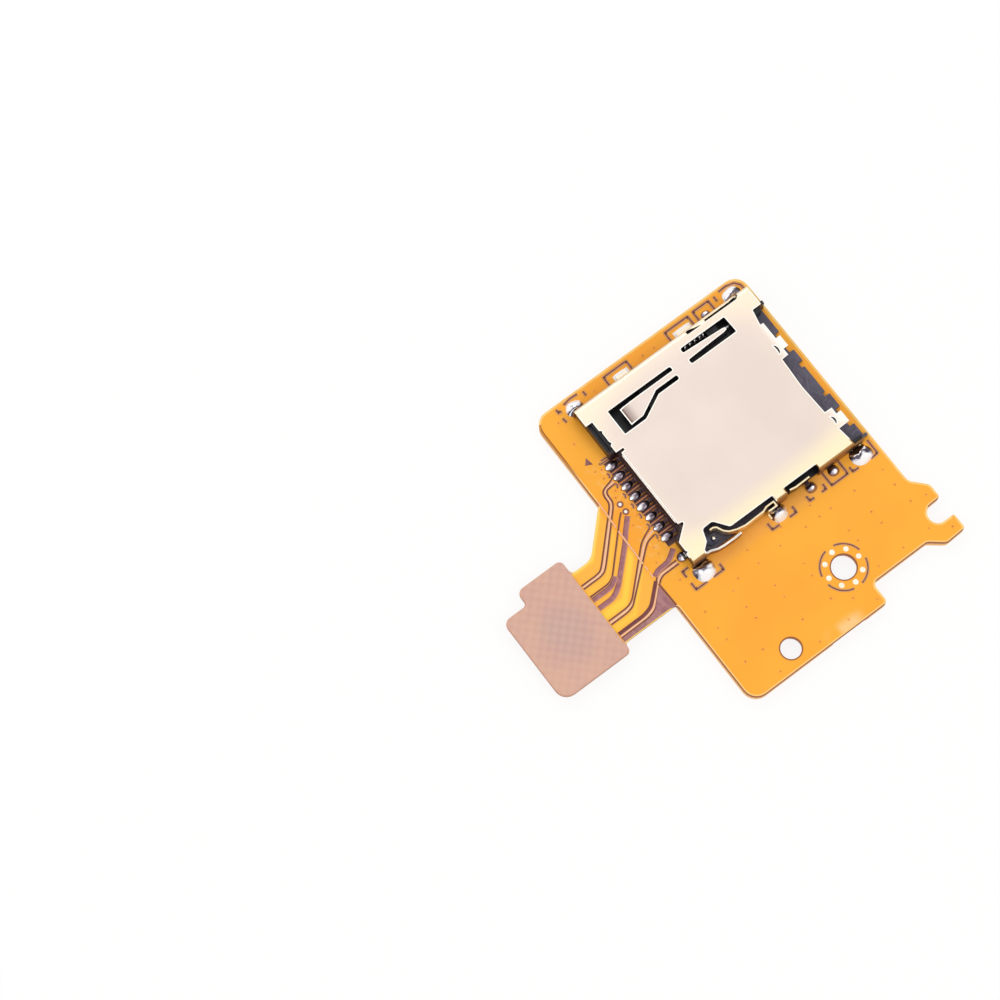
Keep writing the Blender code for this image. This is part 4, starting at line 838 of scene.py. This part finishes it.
layRibbons("copperTraces", {
    "finish": "trace", "width": 0.21, "corner": 0.3, "lift": 0.006,
    "paths": [
        [(6.95, 1.9), (7.05, 1.2), (7.25, 0.88), (8.02, 0.84), (8.34, 0.65), (11.24, -2.2),
         (11.64, -2.65), (11.73, -3.1), (11.73, padY)],
        [(11.4, 2.0), (11.58, 1.3), (11.88, 0.8), (12.4, 0.24), (14.68, -2.34), (14.87, -3.0),
         (14.87, padY)],
        [(14.25, 1.95), (14.26, 0.5), (14.42, 0.17), (15.88, -1.4), (16.06, -2.1), (16.08, padY)],
    ],
})
layRibbons("copperLines", {
    "finish": "line", "width": 0.15, "corner": 0.3, "lift": 0.012,
    "paths": [
        [(6.62, 2.12), (6.82, 1.72), (6.92, 1.22), (7.07, 0.87), (7.38, 0.73), (7.98, 0.71),
         (8.29, 0.51), (11.12, -2.3), (11.53, -2.75), (11.6, -3.2), (11.6, padY)],
        [(7.12, 1.9), (7.17, 1.17), (7.38, 1.0), (8.08, 0.97), (8.39, 0.78), (11.36, -2.1),
         (11.76, -2.55), (11.87, -3.0), (11.87, padY)],
        [(9.04, 0.98), (9.3, 0.66), (12.33, -2.3), (12.54, -2.7), (12.59, -3.0), (12.59, padY)],
        [(11.06, 2.1), (11.32, 1.42), (11.62, 0.81), (12.13, 0.26), (14.46, -2.2), (14.66, -2.6),
         (14.72, -3.01), (14.72, padY)],
        [(11.72, 1.9), (11.84, 1.2), (12.13, 0.79), (14.89, -2.46), (15.02, -3.01), (15.02, padY)],
        [(14.1, 1.95), (14.11, 0.44), (14.26, 0.12), (14.6, -0.22)],
        [(14.4, 1.95), (14.4, 0.55), (14.56, 0.2), (16.02, -1.36), (16.19, -2.06), (16.21, padY)],
    ],
})
layRibbons("darkBands", {
    "finish": "darkBand", "width": 0.3, "corner": 0.35, "lift": 0.018,
    "paths": [[(14.42, -0.1), (15.66, -1.46), (15.86, -2.2), (15.87, padY)]],
})
layRibbons("copperBands", {
    "finish": "band", "width": 0.42, "corner": 0.35, "lift": 0.022,
    "paths": [
        [(9.52, 1.17), (10.41, 0.31), (10.91, -0.09), (13.14, -2.4), (13.45, -2.9), (13.6, -3.31),
         (13.6, padY)],
        [(12.45, -2.15), (12.72, -2.5), (12.88, -2.95), (12.88, padY)],
        [(13.3, 2.3), (13.6, 1.85), (13.86, 1.4), (13.9, 0.5), (14.12, 0.05)],
    ],
})
layRibbons("tailSeam", {
    "finish": "trace", "width": 0.13, "lift": 0.034,
    "paths": [
        [(7.4, 0.12), (9.7, 0.02)],
        [(10.0, 0.0), (12.9, -0.06)],
        [(13.1, -0.06), (13.5, -0.07)],
        [(13.7, -0.08), (14.1, -0.08)],
    ],
})
layRibbons("tailFold", {
    "finish": "line", "width": 0.16, "lift": 0.036,
    "paths": [[(14.7, -0.06), (16.62, 0.0)]],
})
# painted shade: dark strips between the contact tails, under the shell's rear edge
layRibbons("combShades", {
    "finish": "comb", "width": 0.46, "lift": 0.026,
    "paths": [[(inRow(5.93, k - 0.5), 3.35), (inRow(5.93, k - 0.5), 2.12)] for k in range(9)],
})
layRibbons("combGaps", {
    "finish": "bracket", "width": 0.2, "lift": 0.032,
    "paths": [
        *([(inRow(6.2, k), 1.9), (inRow(6.38, k), 1.98), (inRow(6.58, k), 1.84)] for k in range(7)),
        [(5.42, 2.6), (5.42, 2.0), (5.3, 1.85)],
        [(5.25, 2.6), (5.22, 2.1)],
    ],
})
layRibbons("combTraces", {
    "finish": "combTrace", "width": 0.09, "lift": 0.04,
    "paths": [[(inRow(6.4, k), 3.3), (inRow(6.42, k), 2.05)] for k in range(7)],
})
layRibbons("landBrackets", {
    "finish": "bracket", "width": 0.28, "corner": 0.06, "lift": 0.012,
    "paths": [
        [(1.3, 11.49), (0.42, 11.49), (0.42, 13.55), (1.3, 13.55)],
        [(1.3, 5.98), (0.42, 5.98), (0.42, 8.02), (1.3, 8.02)],
        [(1.3, 14.04), (0.38, 14.04), (0.38, 15.44), (1.3, 15.44)],
        [(15.3, 13.98), (16.4, 13.98), (16.4, 15.42), (15.3, 15.42)],
        [(0.3, 16.45), (0.26, 17.1), (0.42, 17.75), (0.8, 18.05), (1.3, 18.1)],
        [(0.35, 15.95), (0.8, 15.95)],
        [(0.28, 3.75), (0.24, 3.1), (0.36, 2.5)],
        [(0.35, 4.2), (0.75, 4.2)],
        [(0.3, 1.85), (0.62, 1.85), (0.62, 2.1)],
        [(1.1, 1.85), (1.5, 1.9)],
        [(15.3, 18.02), (16.48, 18.02), (16.52, 17.4)],
        [(16.52, 16.3), (16.5, 15.78), (16.1, 15.78)],
        [(15.93, 13.52), (16.35, 13.52), (16.35, 13.12)],
        [(16.35, 12.45), (16.35, 12.05), (15.93, 12.05)],
        [(15.9, 10.8), (16.42, 10.8), (16.42, 10.2)],
        [(16.42, 9.3), (16.42, 8.66), (15.85, 8.66)],
        [(16.1, 4.2), (16.6, 4.2), (16.6, 3.3)],
        [(16.6, 2.75), (16.6, 1.78), (16.0, 1.78)],
        [(15.5, 1.78), (15.0, 1.78), (15.0, 2.3)],
    ],
})
layRibbons("screwRing", {
    "finish": "bracket", "width": 0.22, "corner": 0.01, "lift": 0.006,
    "paths": [arcPath(screwHole, 1.68, 11.0 + 90 * k, 66.0) for k in range(4)],
})
layRibbons("underLines", {
    "finish": "band", "width": 0.34, "corner": 0.3, "lift": 0.006, "level": flexBottom,
    "paths": [
        [(8.3, 0.0), (10.8, -2.0), (11.15, -2.9), (11.25, -4.3), (11.45, -5.4), (11.9, -6.2)],
        [(9.6, 0.0), (12.0, -2.1), (12.3, -2.9), (12.3, -4.4), (12.95, -5.3), (12.95, -6.3)],
        [(11.3, 0.0), (14.0, -2.3), (14.3, -3.0), (14.3, -6.3)],
        [(13.8, 0.0), (15.2, -1.5), (15.5, -2.1), (15.5, -5.6), (15.1, -6.1)],
        [(13.0, -8.75), (13.0, -9.9)],
        [(13.6, -8.75), (13.6, -9.9)],
    ],
})
layRibbons("filmSeam", {
    "finish": "filmSeam", "width": 0.09, "corner": 0.4, "lift": -0.001, "level": 0.0,
    "paths": [
        [(13.0, 0.28), (8.38, 0.28), (8.38, 4.42), (18.17, 4.42), (18.17, 0.28), (13.0, 0.28)],
    ],
})


def rectangle(left, low, right, high):
    return [(left, low), (right, low), (right, high), (left, high)]


def layMarks(name, settings):
    # small flat shapes: the board places of each outline and the height that it lies at
    bm = bmesh.new()
    for outline, z in settings["outlines"]:
        verts = [bm.verts.new(at(x, y, z)) for x, y in outline]
        if z < flexBottom:
            verts.reverse()
        bm.faces.new(verts)
    addPiece(name, finishMesh(name, bm), settings)


layMarks("mauveMarks", {"finish": "mark", "outlines": [
    ([(4.4, 1.4), (4.82, 1.0), (5.07, 1.52)], flexTop + 0.006),
    ([(9.5, -6.05), (10.35, -6.35), (10.05, -5.5)], flexBottom - 0.006),
    ([(11.25, -8.05), (11.25, -8.6), (11.4, -8.85), (11.62, -8.85), (11.75, -8.6), (11.75, -8.05)],
     flexBottom - 0.006),
]})
layMarks("foldShade", {"finish": "fold", "outlines": [
    ([(14.72, -0.05), (16.06, -1.42), (16.24, -1.95), (16.25, padY), (16.55, padY),
      (16.55, -0.5), (16.7, -0.05)], flexTop + 0.016),
]})
layMarks("plugPads", {"finish": "padMark", "outlines": [
    (rectangle(x - 0.22, y - 0.14, x + 0.22, y + 0.14), flexBottom - 0.008)
    for x in (10.72, 16.18) for y in (-7.02, -7.98)
]})
layMarks("whiteLands", {"finish": "land", "slot": "solder", "outlines": [
    (rectangle(0.78, 11.9, 1.45, 13.36), flexTop + 0.008),
    (rectangle(0.78, 6.5, 1.45, 7.78), flexTop + 0.008),
]})
print("copper lines and marks laid")


def beadShape(tree, entry):
    # a flattened ball
    ball = tree.node("GeometryNodeMeshUVSphere", {"Segments": 14, "Rings": 8, "Radius": 1.0})
    sizes = tree.node("ShaderNodeCombineXYZ", {0: entry[1], 1: entry[2], 2: entry[3]})
    return tree.node("GeometryNodeTransform", {"Geometry": ball, "Scale": sizes})


def lipShape(tree, entry):
    # a low ring, such as the lip of a plated via
    circle, section = (
        tree.node("GeometryNodeCurvePrimitiveCircle", {"Resolution": count, "Radius": radius})
        for count, radius in ((14, entry[1]), (6, entry[3]))
    )
    return tree.node("GeometryNodeCurveToMesh", {"Curve": circle, "Profile Curve": section})


def repeatTree(name, makeShape, material, labels):
    # each point carries one small shape, some a little smaller than others
    group = bpy.data.node_groups.new(name, "GeometryNodeTree")
    group.interface.new_socket("Geometry", in_out="INPUT", socket_type="NodeSocketGeometry")
    identifiers = {}
    for label in labels:
        socket = group.interface.new_socket(label, in_out="INPUT", socket_type="NodeSocketFloat")
        identifiers[label] = socket.identifier
    group.interface.new_socket("Geometry", in_out="OUTPUT", socket_type="NodeSocketGeometry")
    tree = Tree(group)
    entry = tree.node("NodeGroupInput", output=None)
    points = tree.node("GeometryNodeMeshToPoints", {"Mesh": entry[0]})
    shape = tree.node("GeometryNodeSetShadeSmooth", {"Geometry": makeShape(tree, entry)})
    draw = {2: entry[4], 3: 1.0, "Seed": 7}
    size = tree.node("FunctionNodeRandomValue", draw, 1, data_type="FLOAT")
    spread = tree.node("GeometryNodeInstanceOnPoints", {
        "Points": points, "Instance": shape, "Scale": size,
    })
    whole = tree.node("GeometryNodeRealizeInstances", {0: spread})
    coloured = tree.node("GeometryNodeSetMaterial", {"Geometry": whole, "Material": material})
    tree.node("NodeGroupOutput", {0: coloured})
    return group, identifiers


def repeat(name, settings):
    points = bpy.data.meshes.new(name + "Points")
    z = flexTop + settings["lift"]
    points.from_pydata([at(x, y, z) for x, y in settings["places"]], [], [])
    holder = addObject(name + "Holder", points)
    labels = ("Half Width", "Half Length", "Height")
    sizes = {label: size * mm for label, size in zip(labels, settings["size"])}
    sizes["Smallest"] = settings["smallest"]
    material = finishes[settings["finish"]]
    shape = settings.get("shape", beadShape)
    group, identifiers = repeatTree(name + "Nodes", shape, material, sizes)
    modifier = holder.modifiers.new("repeat", "NODES")
    modifier.node_group = group
    for label, value in sizes.items():
        modifier[identifiers[label]] = value
    mesh = applied(holder)
    mesh.name = name
    addPiece(name, mesh, settings)


viaPlaces = [
    (16.6, 9.25), (17.65, 8.4), (19.6, 8.9), (20.65, 8.85), (22.7, 8.85), (24.6, 8.9),
    (17.7, 6.4), (19.65, 6.35), (20.65, 6.35), (22.7, 6.35), (24.65, 6.35), (16.5, 6.35),
    (17.7, 4.6), (18.2, 3.8), (19.65, 3.8), (20.65, 3.85), (22.7, 2.85), (24.65, 2.85),
    (18.2, 1.3), (19.65, 1.3), (20.65, 1.3), (22.65, 1.35), (17.65, 17.55), (19.0, 17.55),
    (20.6, 17.7), (22.9, 17.45), (20.9, 18.85), (23.8, 18.85), (17.65, 15.0), (19.55, 15.0),
    (20.6, 15.05), (22.9, 15.15), (17.65, 12.9), (19.65, 12.9), (20.6, 12.95), (22.9, 12.95),
    (16.6, 11.85), (17.65, 11.9), (17.65, 10.65), (24.65, 11.4), (23.6, 10.1), (3.1, 1.35),
    (1.2, 1.4), (0.85, 4.85), (0.8, 9.2), (0.8, 10.2), (5.75, 1.75), (5.6, 1.3), (6.35, 1.5),
    (7.55, 1.62), (7.95, 1.3), (7.75, 1.95), (9.85, 1.75), (10.25, 1.05), (12.4, 1.25),
    (12.95, 1.25), (13.4, 0.75), (12.25, 1.85), (15.35, 1.3),
]
bareViaPlaces = [(8.54, 1.27), (9.19, 1.27)]
repeat("viaLips", {
    "shape": lipShape, "finish": "lip", "places": viaPlaces,
    "lift": 0.004, "size": (0.11, 0.11, 0.022), "smallest": 0.75,
})
repeat("viaDimples", {
    "finish": "dimple", "places": viaPlaces,
    "lift": 0.002, "size": (0.055, 0.055, 0.012), "smallest": 0.6,
})
repeat("ringDots", {
    "finish": "barePad", "slot": "solder",
    "places": arcPath(screwHole, 1.32, 0.0, 315.0, 7),
    "lift": 0.002, "size": (0.21, 0.21, 0.03), "smallest": 0.95,
})
repeat("bareVias", {
    "finish": "land", "slot": "solder", "places": bareViaPlaces,
    "lift": 0.0, "size": (0.14, 0.14, 0.09), "smallest": 0.9,
})
repeat("bareViaRings", {
    "shape": lipShape, "finish": "mark", "places": bareViaPlaces,
    "lift": 0.005, "size": (0.2, 0.2, 0.05), "smallest": 0.95,
})
repeat("tailSolder", {
    "finish": "rowSolder", "slot": "solder",
    "places": [(inRow(5.95, k), 2.48) for k in range(8)],
    "lift": 0.08, "size": (0.32, 0.54, 0.16), "smallest": 0.88,
})
repeat("switchTailSolder", {
    "finish": "ballSolder", "slot": "solder", "places": [(14.14, 2.42)],
    "lift": 0.05, "size": (0.36, 0.4, 0.24), "smallest": 1.0,
})
repeat("plugSolder", {
    "finish": "solder", "slot": "solder",
    "places": [(11.9975 + plugPitch * k, y) for k in range(8) for y in (-6.42, -8.58)],
    "lift": -0.25, "size": (0.12, 0.16, 0.05), "smallest": 0.8,
})
print("repeated pieces made")

jointSettings = {
    "front_high": {"middle": (15.88, 17.0), "reach": (0.72, 0.84), "height": 0.52},
    "rear_high": {"middle": (15.86, 3.08), "reach": (0.74, 0.84), "height": 0.5},
    "front_low": {"middle": (1.0, 17.1), "reach": (0.54, 0.74), "height": 0.42},
    "rear_low": {"middle": (1.02, 2.98), "reach": (0.56, 0.66), "height": 0.42},
    "side_low_1": {"middle": (1.14, 7.14), "reach": (0.4, 0.6), "height": 0.12, "finish": "land"},
    "side_low_2": {"middle": (1.14, 12.63), "reach": (0.4, 0.68), "height": 0.12, "finish": "land"},
    "switch_leaf": {"middle": (15.68, 9.74), "reach": (0.66, 0.66), "height": 0.66},
    "switch_contact": {"middle": (15.64, 12.72), "reach": (0.4, 0.44), "height": 0.42,
                       "finish": "ballSolder"},
    "peg_high": {"middle": (15.62, 14.72), "reach": (0.42, 0.42), "height": 0.4,
                 "finish": "ballSolder"},
    "peg_low": {"middle": (1.1, 14.68), "reach": (0.32, 0.36), "height": 0.3,
                "finish": "ballSolder"},
}
dropShape = {"rings": 12, "sides": 36, "round": 2.3, "square": 5.0, "outline": 0.09,
             "surface": 0.16, "fullness": 0.8, "lift": 0.003}


def makeSolderJoint(place, seed, settings):
    # a frozen drop: full in the middle, drawn out flat at its foot, and slightly uneven
    rings, sides = dropShape["rings"], dropShape["sides"]
    power = dropShape["square" if "side" in place else "round"]
    bm = bmesh.new()
    rows = []
    for ring in range(rings + 1):
        share = ring / rings
        row = []
        for side in range(sides if ring else 1):
            angle = 2 * math.pi * side / sides
            cosine, sine = math.cos(angle), math.sin(angle)
            bulge = (abs(cosine) ** power + abs(sine) ** power) ** (-1 / power)
            rough = noise.noise(Vector((cosine * 1.3, sine * 1.3, seed * 3.7)))
            bulge *= 1 + dropShape["outline"] * rough
            x = settings["middle"][0] + settings["reach"][0] * share * bulge * cosine
            y = settings["middle"][1] + settings["reach"][1] * share * bulge * sine
            crown = max(0.0, math.cos(min(1.0, share * 1.02) * math.pi / 2))
            rough = noise.noise(Vector((x * 2.3, y * 2.3, seed)))
            height = settings["height"] * (1 + dropShape["surface"] * rough)
            z = flexTop + dropShape["lift"] + crown ** dropShape["fullness"] * height
            row.append(bm.verts.new(at(x, y, z)))
        rows.append(row)
    for side in range(sides):
        after = (side + 1) % sides
        bm.faces.new((rows[0][0], rows[1][side], rows[1][after]))
        for inner, outer in zip(rows[1:], rows[2:]):
            bm.faces.new((inner[side], outer[side], outer[after], inner[after]))
    bm.faces.new(list(reversed(rows[rings])))
    bmesh.ops.recalc_face_normals(bm, faces=bm.faces)
    name = "joint_" + place
    mesh = smoothed(finishMesh(name, bm), 70)
    addPiece(name, mesh, {"finish": "solder", "slot": "solder", **settings}, ("solder_" + place,))


for seed, (place, placeSettings) in enumerate(jointSettings.items(), 1):
    makeSolderJoint(place, seed, placeSettings)
print("solder joints made")

floorSettings = {"size": 0.6, "drop": 0.00002, "clean": 0.86, "colour": (0.98, 0.975, 0.97)}


def whiteToEye(tree, share, lit, white):
    # plain white where it is seen directly or in a mirror, and the lit shader for all other light
    rays = tree.node("ShaderNodeLightPath", output=None)
    camera, glossy, through = rays[0], rays[3], rays[6]
    seen = camera.most(glossy).most(through)
    return tree.node("ShaderNodeMixShader", {0: seen * share, 1: Value(tree, lit), 2: white})


def makeFloor(settings):
    # white to the eye, with a softened shadow under the part
    bm = bmesh.new()
    bmesh.ops.create_grid(bm, x_segments=1, y_segments=1, size=settings["size"])
    bmesh.ops.translate(bm, verts=bm.verts, vec=(0, 0, -settings["drop"]))
    mesh = finishMesh("floor", bm)
    floor = addObject("floor", mesh)
    finish = Finish("paleFloor", 0.9, gloss=0.0)
    finish.set("Base Color", settings["colour"])
    white = finish.node("ShaderNodeEmission", {"Color": (1.0, 1.0, 1.0), "Strength": 1.0})
    mixed = whiteToEye(finish, settings["clean"], finish.shader.outputs[0], white)
    finish.feed(finish.tree.nodes["Material Output"].inputs["Surface"], mixed)
    mesh.materials.append(finish.material)


worldSettings = {"strength": 0.76, "colour": (1.0, 0.995, 0.985)}


def makeWorld(settings):
    world = bpy.data.worlds.new("studio")
    bpy.context.scene.world = world
    world.use_nodes = True
    tree = Tree(world.node_tree)
    light = world.node_tree.nodes["Background"]
    tree.feed(light.inputs["Color"], settings["colour"])
    tree.feed(light.inputs["Strength"], settings["strength"])
    seen = tree.node("ShaderNodeBackground", {"Color": (1.0, 1.0, 1.0), "Strength": 1.0})
    mixed = whiteToEye(tree, 1.0, light.outputs[0], seen)
    tree.feed(world.node_tree.nodes["World Output"].inputs["Surface"], mixed)


lampSettings = {
    "keyLamp": {"place": (0.2, 0.13, 0.28), "size": 0.2, "power": 0.17},
    "sideLamp": {"place": (-0.22, 0.05, 0.26), "size": 0.2, "power": 0.19},
    "fillLamp": {"place": (-0.06, -0.25, 0.25), "size": 0.25, "power": 0.14},
}


def makeLamp(name, settings):
    data = bpy.data.lights.new(name, "AREA")
    data.shape = "DISK"
    data.size = settings["size"]
    data.energy = settings["power"]
    lamp = addObject(name, data)
    lamp.location = settings["place"]
    lamp.rotation_euler = Vector(settings["place"]).to_track_quat("Z", "Y").to_euler()


makeFloor(floorSettings)
makeWorld(worldSettings)
for lampName, lamp in lampSettings.items():
    makeLamp(lampName, lamp)
bpy.context.scene.view_settings.view_transform = "Standard"
print("floor and light set")
